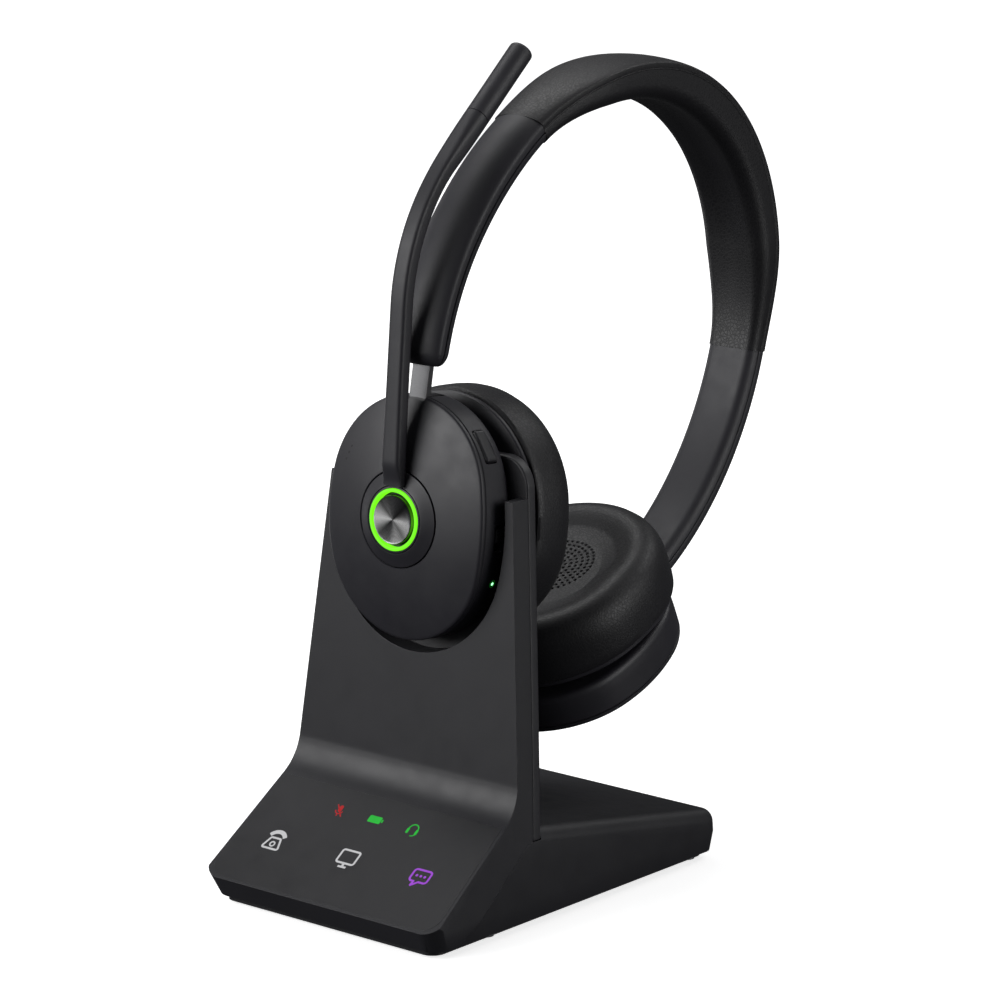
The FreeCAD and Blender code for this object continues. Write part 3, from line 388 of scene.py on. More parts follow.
def oval(half_width, half_height, side_radius):
    """Distance from the middle of a four-arc oval to its outline, as a function of the angle."""
    reach = side_radius - half_width
    end_radius = (side_radius ** 2 - reach ** 2 - half_height ** 2) / (2 * (side_radius - half_height))
    end_centre = half_height - end_radius
    turn = math.atan2(end_centre, reach)
    junction = Vector((side_radius * math.cos(turn) - reach, side_radius * math.sin(turn)))
    limit = math.atan2(junction.y, junction.x)

    def distance(angle):
        across, up = abs(math.cos(angle)), abs(math.sin(angle))
        if math.atan2(up, across) <= limit:
            return -reach * across + math.sqrt(side_radius ** 2 - (reach * up) ** 2)
        return end_centre * up + math.sqrt(end_radius ** 2 - (end_centre * across) ** 2)

    return distance


def inside(outline, inset):
    """An oval moved inwards, as a function of the angle."""
    return lambda angle: outline(angle) - inset


DISC = oval(27.6, 33.6, 60.0)
CUSHION = oval(32.4, 35.2, 66.0)
ROUND = 128


def spin_ring(distance, depth, segments=ROUND):
    """A ring round +Y; distance is a number or a function of the angle, depth one of the distance."""
    points = []
    for step in range(segments):
        angle = 2 * math.pi * step / segments
        away = distance(angle) if callable(distance) else distance
        back = depth(away) if callable(depth) else depth
        points.append(Vector((away * math.cos(angle), back, away * math.sin(angle))))
    return points


def rounded_outline(corners, steps=8):
    """A closed outline from corners (x, y, radius), each rounded by an arc."""
    points = []
    count = len(corners)
    for index, (x, y, radius) in enumerate(corners):
        here = Vector((x, y))
        before = Vector(corners[index - 1][:2]) - here
        after = Vector(corners[(index + 1) % count][:2]) - here
        half = before.angle(after) / 2
        cut = radius / math.tan(half)
        start = here + before.normalized() * cut
        end = here + after.normalized() * cut
        middle = (before.normalized() + after.normalized()).normalized()
        centre = here + middle * (radius / math.sin(half))
        for step in range(steps + 1):
            ray = (start - centre).slerp(end - centre, step / steps)
            points.append(centre + ray.normalized() * radius)
    return points


def inset_outline(points, distance):
    """The same closed outline, moved inwards by a distance."""
    area = sum(a.x * b.y - b.x * a.y for a, b in zip(points, points[1:] + points[:1]))
    side = 1.0 if area > 0 else -1.0
    moved = []
    for index, here in enumerate(points):
        before = (here - points[index - 1]).normalized()
        after = (points[(index + 1) % len(points)] - here).normalized()
        first = Vector((-before.y, before.x)) * side
        second = Vector((-after.y, after.x)) * side
        middle = (first + second).normalized()
        moved.append(here + middle * (distance / max(middle.dot(first), 0.35)))
    return moved


def add_slab(drawn, outline, wall, place):
    """A closed plate: wall is a run of (inset, depth) pairs round its edge, place maps (x, y, depth)."""
    grid = []
    for inset, depth in wall:
        ring = inset_outline(outline, inset)
        grid.append([drawn.verts.new(place(point.x, point.y, depth)) for point in ring])
    for lower, upper in zip(grid, grid[1:]):
        bridge(drawn, lower, upper)
    drawn.faces.new(grid[0])
    drawn.faces.new(grid[-1])


SOFT_EDGE_ANGLE = math.radians(28.0)


def softened(node, material, width, chosen=None):
    """A copy of a CAD node with its edges rounded; the copy replaces the node."""
    source = frame["nodes"][node]
    drawn = bmesh.new()
    drawn.from_mesh(source.data)
    bmesh.ops.remove_doubles(drawn, verts=drawn.verts, dist=1e-6)
    bmesh.ops.dissolve_limit(
        drawn, angle_limit=math.radians(0.5), use_dissolve_boundaries=False,
        verts=drawn.verts, edges=drawn.edges, delimit=set())
    edges = []
    for edge in drawn.edges:
        if len(edge.link_faces) != 2 or edge.calc_face_angle() < SOFT_EDGE_ANGLE:
            continue
        middle = (edge.verts[0].co + edge.verts[1].co) / 2 / MM
        if chosen is None or chosen(middle):
            edges.append(edge)
    bmesh.ops.bevel(
        drawn, geom=edges, offset=width * MM, offset_type="OFFSET", segments=3,
        profile=0.5, affect="EDGES", clamp_overlap=True, loop_slide=True, material=-1)
    bmesh.ops.recalc_face_normals(drawn, faces=drawn.faces)
    piece = add_object(node + "_soft", mesh_of(drawn, node + "_soft"))
    return finish_piece(piece, material, source["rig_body"], (node,), sharp=30.0)


def cut(piece, cutter_maker, place):
    """Cuts a shape, drawn in millimetres in a frame, out of a piece."""
    drawn = bmesh.new()
    cutter_maker(drawn)
    bmesh.ops.recalc_face_normals(drawn, faces=drawn.faces)
    cutter = add_object("cutter", mesh_of(drawn, "cutter"))
    cutter.matrix_world = place
    boolean = piece.modifiers.new("cut", "BOOLEAN")
    boolean.operation = "DIFFERENCE"
    boolean.solver = "EXACT"
    boolean.object = cutter
    bpy.context.view_layer.objects.active = piece
    with bpy.context.temp_override(object=piece, active_object=piece, selected_objects=[piece]):
        bpy.ops.object.modifier_move_to_index(modifier="cut", index=0)
        bpy.ops.object.modifier_apply(modifier="cut")
    bpy.data.objects.remove(cutter)


def paint_node(node, material):
    """Gives a CAD node that stays its finished material."""
    holder = frame["nodes"][node]
    holder.data.materials.clear()
    holder.data.materials.append(material)

# ---------------------------------------------------------------- ear cups


DOME_HEIGHT = 5.6
DOME_RADIUS = 112.0
DISC_DEPTH = 9.9
HUB_RADIUS = 13.3
HUB_GAP = 0.1
WALL = 1.8
NECK_RADIUS = 17.8
RIM_ROUND = 0.25
# rounded rim of the dome: inset from the disc's outline and drop from the dome
DOME_EDGE = ((0.5, 0.02), (0.24, 0.12), (0.07, 0.28), (0.0, 0.5), (0.0, 1.15), (0.25, 1.35), (1.6, 1.4))


def dome(distance):
    """Depth of the domed cover at a distance from its middle."""
    return DOME_RADIUS - DOME_HEIGHT - math.sqrt(DOME_RADIUS ** 2 - distance ** 2)


def front_cover(hole):
    """Domed cover of a control disc, with a rounded rim and, on one side, a hole for the hub."""

    def draw(drawn):
        rings = []
        if hole:
            rim = HUB_RADIUS + HUB_GAP
            rings.append(spin_ring(rim, 1.0))
            rings.append(spin_ring(rim, lambda away: dome(away) + 0.3))
            rings.append(spin_ring(rim + RIM_ROUND, dome))
            shares = [step / 14 for step in range(1, 15)]
        else:
            rim = 0.0
            shares = [0.02 + 0.98 * step / 16 for step in range(17)]
        for share in shares:
            rings.append(spin_ring(
                lambda angle: rim + RIM_ROUND + share * (DISC(angle) - 0.9 - rim - RIM_ROUND), dome))
        for inset, drop in DOME_EDGE:
            rings.append(spin_ring(inside(DISC, inset), lambda away: dome(away) + drop))
        add_rings(drawn, rings, not hole, not hole, around=hole)

    return draw


def housing(drawn):
    """Side wall and back of a control disc, hollow and open to the front."""
    rings = [spin_ring(0.3, DISC_DEPTH), spin_ring(16.0, DISC_DEPTH)]
    for inset, depth in ((2.2, 9.9), (1.5, 9.85), (0.8, 9.5), (0.35, 8.9), (0.1, 8.0), (0.0, 5.0)):
        rings.append(spin_ring(inside(DISC, inset), depth))
    for inset, drop in ((0.0, 1.75), (0.25, 1.5), (WALL, 1.45)):
        rings.append(spin_ring(inside(DISC, inset), lambda away: dome(away) + drop))
    rings.append(spin_ring(inside(DISC, WALL), DISC_DEPTH - WALL))
    rings.append(spin_ring(0.3, DISC_DEPTH - WALL))
    add_rings(drawn, rings)


def speaker_housing(drawn):
    """Round neck behind the disc, opening into the flange that carries the cushion; hollow inside."""
    rings = [spin_ring(0.3, DISC_DEPTH + 0.02), spin_ring(NECK_RADIUS - 0.3, DISC_DEPTH + 0.02)]
    rings += [spin_ring(NECK_RADIUS, DISC_DEPTH + 0.3), spin_ring(NECK_RADIUS, 12.6)]
    # the flange's back swells from the neck to the rim
    for share, depth in ((0.04, 13.0), (0.15, 13.3), (0.5, 13.8), (0.85, 14.4)):
        rings.append(spin_ring(
            lambda angle: NECK_RADIUS + share * (CUSHION(angle) - 1.6 - NECK_RADIUS), depth))
    for inset, depth in ((1.9, 14.8), (1.6, 15.2), (1.6, 16.1), (2.0, 16.35), (6.0, 16.38)):
        rings.append(spin_ring(inside(CUSHION, inset), depth))
    rings += [spin_ring(NECK_RADIUS - 2, 16.38), spin_ring(NECK_RADIUS - 2, 11.6), spin_ring(0.3, 11.6)]
    add_rings(drawn, rings)


# ear pad: inset from the outline and depth, from the hem at the flange over the crest into the dish
PAD_HEM = [(2.6, 16.5), (1.1, 16.6), (0.6, 17.2)]
PAD_SIDE = [(0.45, 19.0), (0.4, 21.5), (0.4, 24.0), (0.55, 26.5), (1.0, 28.8), (1.9, 30.8), (3.3, 32.5),
            (5.2, 33.6), (7.3, 34.0), (9.3, 33.6), (11.2, 32.8), (13.0, 32.0), (14.4, 31.4)]
DISH_DEPTH = 31.0
DISH_RADIUS = 16.0
HOLE_RISE = 3.4
HOLE_ROWS = 8
HOLE_PITCH = 1.65
HOLE_SIZE = 0.42
PAD_SEGMENTS = 288


def hole_distance(away, angle):
    """Distance from a point of the dish to the nearest perforation; row n has 6 n holes, staggered."""
    nearest = away
    here = round(away / HOLE_PITCH)
    for row in range(max(1, here - 1), min(HOLE_ROWS, here + 2)):
        step = 2 * math.pi / (6 * row)
        start = step / 2 * (row % 2)
        turn = angle - start - step * round((angle - start) / step)
        radius = row * HOLE_PITCH
        gap = math.sqrt(max(0.0, away ** 2 + radius ** 2 - 2 * away * radius * math.cos(turn)))
        nearest = min(nearest, gap)
    return nearest


def ear_pad_shell(drawn):
    """Side, crest and slope of the pad's cover, from the driver's well round to the dish."""
    well = ((1.0, 22.0), (17.0, 22.0), (17.0, 16.5))
    rings = [spin_ring(away, depth, PAD_SEGMENTS) for away, depth in well]
    for inset, depth in PAD_HEM + PAD_SIDE:
        rings.append(spin_ring(inside(CUSHION, inset), depth, PAD_SEGMENTS))
    rings.append(spin_ring(DISH_RADIUS, DISH_DEPTH, PAD_SEGMENTS))
    add_rings(drawn, rings, True, False)


def ear_pad_dish(drawn):
    """Perforated middle of the pad."""
    steps = 76
    rings = []
    for step in range(steps):
        away = DISH_RADIUS * (1 - step / steps)
        sag = 0.35 * (1 - (away / DISH_RADIUS) ** 2)
        ring = spin_ring(away, DISH_DEPTH - sag, PAD_SEGMENTS)
        for point in ring:
            across, up = point.x, point.z - HOLE_RISE
            near = hole_distance(math.hypot(across, up), math.atan2(up, across))
            pit = max(0.0, min(1.0, (HOLE_SIZE - near) / 0.16))
            lip = math.exp(-((near - HOLE_SIZE) / 0.25) ** 2) * (1 - pit)
            point.y += 0.08 * lip * min(1.0, (DISH_RADIUS - away) / 2) - 0.9 * pit
        rings.append(ring)
    add_rings(drawn, rings, False, True)


STUFFING_PRESSURE = 3.0
STUFFING_FRAMES = 18
MOST_SWELL = 0.35


def inflate(piece, place, pinned):
    """Cloth simulation of a stuffed cover; pinned tells which points stay. Moves are capped."""
    rest = [vertex.co.copy() for vertex in piece.data.vertices]
    pins = piece.vertex_groups.new(name="pins")
    to_frame = place.inverted()
    pins.add([index for index, point in enumerate(rest) if pinned(to_frame @ point)], 1.0, "REPLACE")
    modifiers = [modifier.name for modifier in piece.modifiers]
    cloth = piece.modifiers.new("stuffing", "CLOTH")
    cloth.settings.quality = 6
    cloth.settings.mass = 0.2
    cloth.settings.tension_stiffness = 18
    cloth.settings.compression_stiffness = 12
    cloth.settings.bending_stiffness = 1.2
    cloth.settings.use_pressure = True
    cloth.settings.uniform_pressure_force = STUFFING_PRESSURE
    cloth.settings.vertex_group_mass = "pins"
    cloth.settings.effector_weights.gravity = 0
    cloth.collision_settings.use_collision = False
    for name in modifiers:
        piece.modifiers[name].show_viewport = False
    scene = bpy.context.scene
    for number in range(1, STUFFING_FRAMES + 1):
        scene.frame_set(number)
    shape = piece.evaluated_get(bpy.context.evaluated_depsgraph_get()).to_mesh()
    moved = [vertex.co.copy() for vertex in shape.vertices]
    piece.evaluated_get(bpy.context.evaluated_depsgraph_get()).to_mesh_clear()
    piece.modifiers.remove(cloth)
    for vertex, before, after in zip(piece.data.vertices, rest, moved):
        step = after - before
        if step.length > MOST_SWELL * MM:
            step = step.normalized() * MOST_SWELL * MM
        vertex.co = before + step
    for name in modifiers:
        piece.modifiers[name].show_viewport = True
    piece.vertex_groups.clear()
    scene.frame_set(1)


def make_ear_pad(side, place):
    """Dished pad: the stuffed cover is simulated, then its perforated middle is added."""
    name = side + "_ear_pad"
    nodes = (side + "_cushion", side + "_speaker_pad")
    pad = make_piece(name, ear_pad_shell, place, LEATHER, side + "_cup", *nodes, slot="leatherette")

    def sewn(point):
        return point.y < 17.6 or math.hypot(point.x, point.z) < DISH_RADIUS + 0.2

    inflate(pad, place, sewn)
    joined = bmesh.new()
    joined.from_mesh(pad.data)
    dish = bmesh.new()
    ear_pad_dish(dish)
    dish.transform(place)
    extra = mesh_of(dish, "dish")
    joined.from_mesh(extra)
    bpy.data.meshes.remove(extra)
    bmesh.ops.remove_doubles(joined, verts=joined.verts, dist=0.02 * MM)
    bmesh.ops.recalc_face_normals(joined, faces=joined.faces)
    joined.to_mesh(pad.data)
    joined.free()
    pad.data.shade_smooth()


def rounded_box(low, high, radius):
    """A maker of a box with rounded edges, between two corners."""

    def draw(drawn):
        corners = bmesh.ops.create_cube(drawn, size=1.0)["verts"]
        for vertex in corners:
            for axis in range(3):
                vertex.co[axis] = low[axis] if vertex.co[axis] < 0 else high[axis]
        edges = {edge for vertex in corners for edge in vertex.link_edges}
        bmesh.ops.bevel(
            drawn, geom=list(edges), offset=radius, segments=3, profile=0.5,
            affect="EDGES", clamp_overlap=True)

    return draw


def on_disc_edge(place, height):
    """Frame on a disc's side wall at a height: +X out of the wall, +Z along it."""
    low, high = 0.0, math.pi / 2 if height >= 0 else -math.pi / 2
    for _ in range(40):
        middle = (low + high) / 2
        if abs(DISC(middle) * math.sin(middle)) < abs(height):
            low = middle
        else:
            high = middle
    spread = 0.01
    first = Vector((math.cos(low - spread), 0, math.sin(low - spread))) * DISC(low - spread)
    second = Vector((math.cos(low + spread), 0, math.sin(low + spread))) * DISC(low + spread)
    along = (second - first).normalized()
    if along.z < 0:
        along.negate()
    outwards = Vector((along.z, 0, -along.x))
    own = Matrix.Identity(4)
    for row in range(3):
        own[row][0], own[row][1], own[row][2] = outwards[row], Y[row], along[row]
    own.translation = Vector((math.cos(low), 0, math.sin(low))) * DISC(low)
    return place @ own


DOT_THICK = 0.5


def dot(radius, proud=0.06):
    """A maker of a small lens, its face along +X."""

    def draw(drawn):
        rings = []
        profile = ((radius, -DOT_THICK), (radius, 0.0), (radius * 0.8, proud * 0.7), (radius * 0.4, proud))
        for away, out in profile:
            ring = []
            for step in range(24):
                angle = 2 * math.pi * step / 24
                ring.append(Vector((out, away * math.cos(angle), away * math.sin(angle))))
            rings.append(ring)
        add_rings(drawn, rings)

    return draw


# depth and height of each side control's middle, half its length and half its width
VOLUME = (4.2, 22.3, 4.8, 2.2)
SWITCH_SLOT = (5.4, -2.2, 3.6, 1.8)
SWITCH_KNOB = (5.4, -1.4, 1.9, 1.55)
LIGHT_DOT = (5.6, -14.8)
KEY_GAP = 0.28


def make_disc(side, place):
    """Cover, housing and neck of one ear cup."""
    body = side + "_cup"
    left = side == "left"
    cover = make_piece(side + "_dome", front_cover(left), place, HEADSET_BLACK, body, side + "_front_cover",
                       slot="headset_shell")
    shell = make_piece(side + "_shell", housing, place, HEADSET_BLACK, body, side + "_housing",
                       slot="headset_shell")
    slot_depth = (1.0, 8.0) if left else (4.4, 9.0)
    cut(shell, rounded_box((-3.8, slot_depth[0], 25.6), (3.8, slot_depth[1], 38.0), 0.6), place)
    if left:
        # room for the slider when it tilts forwards
        cut(cover, rounded_box((-3.8, dome(31.0) + 0.45, 28.0), (3.8, 8.0, 38.0), 0.2), place)
    make_piece(side + "_neck", speaker_housing, place, HEADSET_BLACK, body, side + "_speaker_housing",
               slot="headset_shell")
    if left:
        for (depth, height, half_long, half_wide), radius in ((VOLUME, 0.85), (SWITCH_SLOT, 1.3)):
            low = (-4.0, depth - half_wide - KEY_GAP, -half_long - KEY_GAP)
            high = (4.0, depth + half_wide + KEY_GAP, half_long + KEY_GAP)
            cut(shell, rounded_box(low, high, radius), on_disc_edge(place, height))


FACING_OUT = Matrix.Rotation(-math.pi / 2, 4, "Z")


def make_controls():
    """Volume key, power switch and charge light on the left disc's side wall."""
    depth, height, half_long, half_wide = VOLUME
    key = rounded_box((-1.6, depth - half_wide, -half_long), (0.42, depth + half_wide, half_long), 0.75)
    make_piece("volume_key", key, on_disc_edge(left_cup, height), CONTROL_BLACK, "volume_button",
               "volume_button", slot="control_plastic")
    depth, height, half_long, half_wide = SWITCH_KNOB

    def knob(drawn):
        front, back = depth - half_wide, depth + half_wide
        rounded_box((-1.6, front, -half_long), (0.1, back, half_long), 0.4)(drawn)
        for middle in (-1.0, 0.0, 1.0):
            low, high = (-0.4, front + 0.3, middle - 0.22), (0.4, back - 0.3, middle + 0.22)
            rounded_box(low, high, 0.12)(drawn)

    make_piece("power_knob", knob, on_disc_edge(left_cup, height), CONTROL_BLACK, "power_switch",
               "power_switch", slot="control_plastic")
    own = on_disc_edge(left_cup, LIGHT_DOT[1]) @ Matrix.Translation((0, LIGHT_DOT[0], 0))
    make_piece("charge_light", dot(0.5), own, DOT_GREEN, "left_cup")
    # painted glow round the charge light, not a lit part
    make_piece("charge_halo", dot(1.15, 0.02), own, PAINTED_HALO_GREEN, "left_cup")
    # microphone holes of the noise pick-up, on the dome near its rim: near-black discs, painted shade
    # standing in for the holes
    for across, up in ((-20.4, 15.2), (-19.6, 17.0), (-21.2, 13.3)):
        away = math.hypot(across, up)
        own = left_cup @ Matrix.Translation((across, dome(away), up)) @ FACING_OUT
        make_piece("pick_up_hole_%d" % (up * 10), dot(0.42, 0.02), own, NEAR_BLACK_AND_HOLE_SHADE, "left_cup")


BUTTON_RADIUS = 6.7
BUTTON_TURNS = 24


def make_hub():
    """Boom hub, light ring and call button."""

    def turned(profile):
        def draw(drawn):
            rings = [spin_ring(away, depth) for away, depth in profile]
            add_rings(drawn, rings, False, False, around=True)
        return draw

    def solid(profile):
        def draw(drawn):
            add_rings(drawn, [spin_ring(away, depth) for away, depth in profile])
        return draw

    hub = turned([(13.18, -2.0), (13.18, -4.6), (13.05, -4.85), (12.6, -5.03), (11.0, -5.75),
                  (9.75, -6.3), (9.4, -6.38), (9.25, -6.2), (9.25, -2.0)])
    ring = turned([(8.5, -5.0), (8.5, -6.6), (8.35, -6.85), (8.0, -6.95), (7.65, -6.85), (7.5, -6.6),
                   (7.5, -5.0)])
    core = solid([(0.3, 2.0), (9.15, 2.0), (9.15, -6.3), (9.0, -6.42), (8.65, -6.45), (8.55, -6.35),
                  (8.55, -4.9), (6.85, -4.9), (6.85, -2.0), (0.3, -2.0)])
    face = [(0.3, -4.3), (BUTTON_RADIUS - 0.3, -4.3), (BUTTON_RADIUS, -4.6), (BUTTON_RADIUS, -6.95),
            (BUTTON_RADIUS - 0.18, -7.15)]
    for step in range(BUTTON_TURNS):
        away = (BUTTON_RADIUS - 0.35) * (1 - step / BUTTON_TURNS)
        dish = 0.25 * (1 - (away / BUTTON_RADIUS) ** 2)
        face.append((max(away, 0.15), -7.15 + dish + 0.012 * (step % 2)))

    make_piece("hub_cap", hub, left_cup, HEADSET_BLACK, "boom", "boom_hub", slot="headset_shell")
    make_piece("ring_light", ring, left_cup, RING_GREEN, "left_cup", "light_ring", slot="green_light")
    make_piece("hub_seat", core, left_cup, HEADSET_BLACK, "left_cup", "hub_core", slot="headset_shell")
    make_piece("call_key", solid(face), left_cup, SPUN_METAL, "call_button", "call_button",
               slot="spun_metal", own_axes=True)


BOOM_FRONT = -7.6
BOOM_ROOT = 9.3
RAMP_END = 17.0
BOOM_STRAIGHT = 58.0
BOOM_BEND = 55.0
BOOM_ANGLE = math.radians(44.5)
BOOM_END = 41.0
BOOM_HALF = (2.8, 2.2)
TIP_RADIUS = 3.45
TIP_LENGTH = 25.0


def boom_path(travel):
    """Point and direction along the boom's centre line, by the way from the hub's middle."""
    arc = BOOM_BEND * BOOM_ANGLE
    if travel <= BOOM_STRAIGHT:
        return Vector((0, BOOM_FRONT, travel)), 0.0
    if travel <= BOOM_STRAIGHT + arc:
        angle = (travel - BOOM_STRAIGHT) / BOOM_BEND
        return Vector((0, BOOM_FRONT + BOOM_BEND * (1 - math.cos(angle)),
                       BOOM_STRAIGHT + BOOM_BEND * math.sin(angle))), angle
    rest = travel - BOOM_STRAIGHT - arc
    start = Vector((0, BOOM_FRONT + BOOM_BEND * (1 - math.cos(BOOM_ANGLE)),
                    BOOM_STRAIGHT + BOOM_BEND * math.sin(BOOM_ANGLE)))
    return start + Vector((0, math.sin(BOOM_ANGLE), math.cos(BOOM_ANGLE))) * rest, BOOM_ANGLE


def rounded_section(half_wide, front, back, roundness, steps=40):
    """Superellipse section; a roundness of 2 is an ellipse, more is squarer."""
    points = []
    for step in range(steps):
        angle = 2 * math.pi * step / steps
        across, out = math.cos(angle), math.sin(angle)
        x = math.copysign(abs(across) ** (2 / roundness), across) * half_wide
        y = math.copysign(abs(out) ** (2 / roundness), out) * (back if out > 0 else front)
        points.append((x, y))
    return points


def make_boom():
    """Boom arm, from its ramp on the hub to the round microphone tip."""
    total = BOOM_STRAIGHT + BOOM_BEND * BOOM_ANGLE + BOOM_END
    tip_start = total - TIP_LENGTH

    def section(travel, shrink=0.0):
        round_share = smooth((travel - tip_start + 26) / 30)
        half_wide = BOOM_HALF[0] * (1 + 0.16 * (1 - smooth(travel / 40)))
        half_wide += (TIP_RADIUS - half_wide) * round_share
        back = BOOM_HALF[1] + (TIP_RADIUS - BOOM_HALF[1]) * round_share
        front = back
        roundness = 4.2 - 2.2 * round_share
        if travel < RAMP_END:
            front = 0.5 + (front - 0.5) * smooth((travel - BOOM_ROOT) / 7.0)
        middle, angle = boom_path(travel)
        normal = Vector((0, math.cos(angle), -math.sin(angle)))
        points = rounded_section(half_wide - shrink, front - shrink, back - shrink, roundness)
        return [middle + X * x + normal * y for x, y in points]

    def arm(drawn):
        rings = []
        travel = BOOM_ROOT
        while travel < tip_start - 0.3:
            rings.append(section(travel))
            travel += 1.0 if travel < 20 else 2.0
        rings.append(section(tip_start - 0.12))
        rings.append(section(tip_start, 0.25))
        add_rings(drawn, rings)

    def tip(drawn):
        rings = [section(tip_start, 0.25), section(tip_start + 0.12)]
        for share in range(1, 9):
            rings.append(section(tip_start + (TIP_LENGTH - 1.2) * share / 8))
        for step in range(1, 6):
            angle = math.pi / 2 * step / 5
            rings.append(section(total - 0.9 + 0.9 * math.sin(angle), 0.9 * (1 - math.cos(angle))))
        rings.append(section(total, 1.35))
        rings.append(section(total - 0.5, 1.6))
        add_rings(drawn, rings)

    make_piece("boom_stem", arm, left_cup, BOOM_BLACK, "boom", "boom_arm", slot="boom_plastic")
    make_piece("boom_head", tip, left_cup, BOOM_BLACK, "boom", "boom_tip", slot="boom_plastic", sharp=50)


def smooth(share):
    """Ease from 0 to 1."""
    share = max(0.0, min(1.0, share))
    return share * share * (3 - 2 * share)

# ---------------------------------------------------------------- headband


BAND_HALF = 71.8
BAND_RISE = 87.2
SPRING_LINE = 33.0
BEND_RADIUS = {-1: 85.0, 1: 100.0}
SEAM_ANGLE = math.acos((70.5 - SPRING_LINE) / BAND_RISE)
ARM_HALF = 8.5
ARM_SPLIT = 3.0
ARM_THICK = 6.6
ARM_CORE = 2.6


def crown_point(turn, depth):
    """Point of the band's top, by the angle from its apex and the depth inwards."""
    across = (BAND_HALF - depth) * math.sin(turn)
    return Vector((0, across, SPRING_LINE + (BAND_RISE - depth) * math.cos(turn)))


def arm_point(side, travel, depth):
    """Point of an arm, by the way down from the seam and the depth inwards."""
    above = (math.pi / 2 - SEAM_ANGLE) * 80.0
    if travel <= above:
        turn = SEAM_ANGLE + travel / 80.0
        return crown_point(side * turn, depth)
    radius = BEND_RADIUS[side]
    turn = (travel - above) / radius
    across = BAND_HALF - radius + (radius - depth) * math.cos(turn)
    return Vector((0, side * across, SPRING_LINE - (radius - depth) * math.sin(turn)))


def outer_section(half, crown, split, side_drop=1.2):
    """Crowned outer cover: flat back, short sides and a domed face."""
    points = [(0.0, crown)]
    for step in range(1, 9):
        angle = math.pi / 2 * step / 8
        drop = (side_drop - crown) * (1 - math.cos(angle)) ** 0.8
        points.append((half * math.sin(angle) ** 0.9, crown + drop))
    points += [(half, split - 0.35), (half - 0.25, split - 0.08), (half - 1.6, split - 0.05)]
    return points


def inner_section(half, split, thick, edge):
    """Inner cover: from the seam round the edge to a nearly flat face."""
    points = [(half - 1.6, split + 0.05), (half - 0.25, split + 0.08), (half, split + 0.35)]
    for step in range(7):
        angle = math.pi / 2 * step / 6
        points.append((half - edge * (1 - math.cos(angle)), thick - edge * (1 - math.sin(angle))))
    points.append((half * 0.4, thick + 0.12))
    points.append((0.0, thick + 0.15))
    return points


def swept_ring(section, point_at):
    """A ring across the band from a half section, mirrored about the middle."""
    ring = [point_at(depth) + X * across for across, depth in section]
    ring += [point_at(depth) - X * across for across, depth in reversed(section) if across > 1e-6]
    return ring


ARM_END_RADIUS = 4.6


def make_arm(side, name, length):
    """Outer and inner cover of one arm, each with a rounded lower end."""

    def cover(section_at):
        def draw(drawn):
            rings = []
            stations = [length * step / 44 for step in range(1, 42)]
            for travel in [0.05] + [away for away in stations if away < length - ARM_END_RADIUS]:
                rings.append(swept_ring(section_at(0.0), lambda depth: arm_point(side, travel, depth)))
            for step in range(1, 9):
                angle = math.pi / 2 * step / 8
                travel = length - ARM_END_RADIUS * (1 - math.sin(angle))
                shrink = ARM_END_RADIUS * (1 - math.cos(angle))
                rings.append(swept_ring(section_at(shrink), lambda depth: arm_point(side, travel, depth)))
            add_rings(drawn, rings)
        return draw

    def squeeze(section, shrink):
        """Pulls a section towards the arm's core, for the rounded end."""
        along, thinner = 1 - 0.30 * shrink / ARM_END_RADIUS, 1 - 0.62 * shrink / ARM_END_RADIUS
        return [(max(0.0, across * along), ARM_CORE + (depth - ARM_CORE) * thinner)
                for across, depth in section]

    outer = outer_section(ARM_HALF, -2.1, ARM_SPLIT)
    inner = inner_section(ARM_HALF, ARM_SPLIT, ARM_THICK, 3.2)
    shell = cover(lambda shrink: squeeze(outer, shrink))
    lining = cover(lambda shrink: squeeze(inner, shrink))
    make_piece(name + "_arm_shell", shell, band, ARM_BLACK, "headband",
               name + "_arm_outer_cover", slot="headset_shell", sharp=50)
    make_piece(name + "_arm_lining", lining, band, ARM_BLACK, "headband",
               name + "_arm_inner_cover", slot="headset_shell", sharp=50)


PAD_SEAM = 2.1
PIPING_RADIUS = 0.34
BAND_STEPS = 150


def pad_shape(turn):
    """Half width, crown and inner depth of the padded top at an angle from its apex."""
    share = smooth((SEAM_ANGLE - abs(turn)) / 0.42)
    half = ARM_HALF + 0.05 + 2.6 * share
    crown = -2.1 + 1.0 * share
    swell = smooth((SEAM_ANGLE - abs(turn)) / SEAM_ANGLE)
    thick = ARM_THICK + 0.2 + 2.2 * share + 3.2 * swell
    return half, crown, thick


def make_band_top():
    """Padded top: an outer leatherette cover and the cushion under it, meeting in a seam at each edge."""
    turns = [SEAM_ANGLE * (2 * step / BAND_STEPS - 1) for step in range(BAND_STEPS + 1)]

    def cover(drawn):
        rings = []
        for turn in turns:
            half, crown, _ = pad_shape(turn)
            section = outer_section(half, crown, PAD_SEAM, 0.6)
            rings.append(swept_ring(section, lambda depth: crown_point(turn, depth)))
        add_rings(drawn, rings)

    def cushion(drawn):
        rings = []
        for turn in turns:
            half, _, thick = pad_shape(turn)
            edge = min(4.6, (thick - PAD_SEAM) * 0.62)
            section = inner_section(half, PAD_SEAM, thick, edge)
            # a shallow valley along the middle of the face
            share = smooth((SEAM_ANGLE - abs(turn)) / 0.5)
            section[-1] = (0.0, thick - 1.3 * share)
            section[-2] = (half * 0.28, thick - 0.9 * share)
            rings.append(swept_ring(section, lambda depth: crown_point(turn, depth)))
        add_rings(drawn, rings)

    make_piece("band_cover", cover, band, BAND_LEATHER_SHADED, "headband", "headband_top_cover",
               slot="leatherette", sharp=60)
    pad = make_piece("band_pad", cushion, band, BAND_LEATHER_SHADED, "headband", "headband_cushion",
                     slot="leatherette", sharp=60)
    for side in (-1, 1):
        make_piping(side, turns)


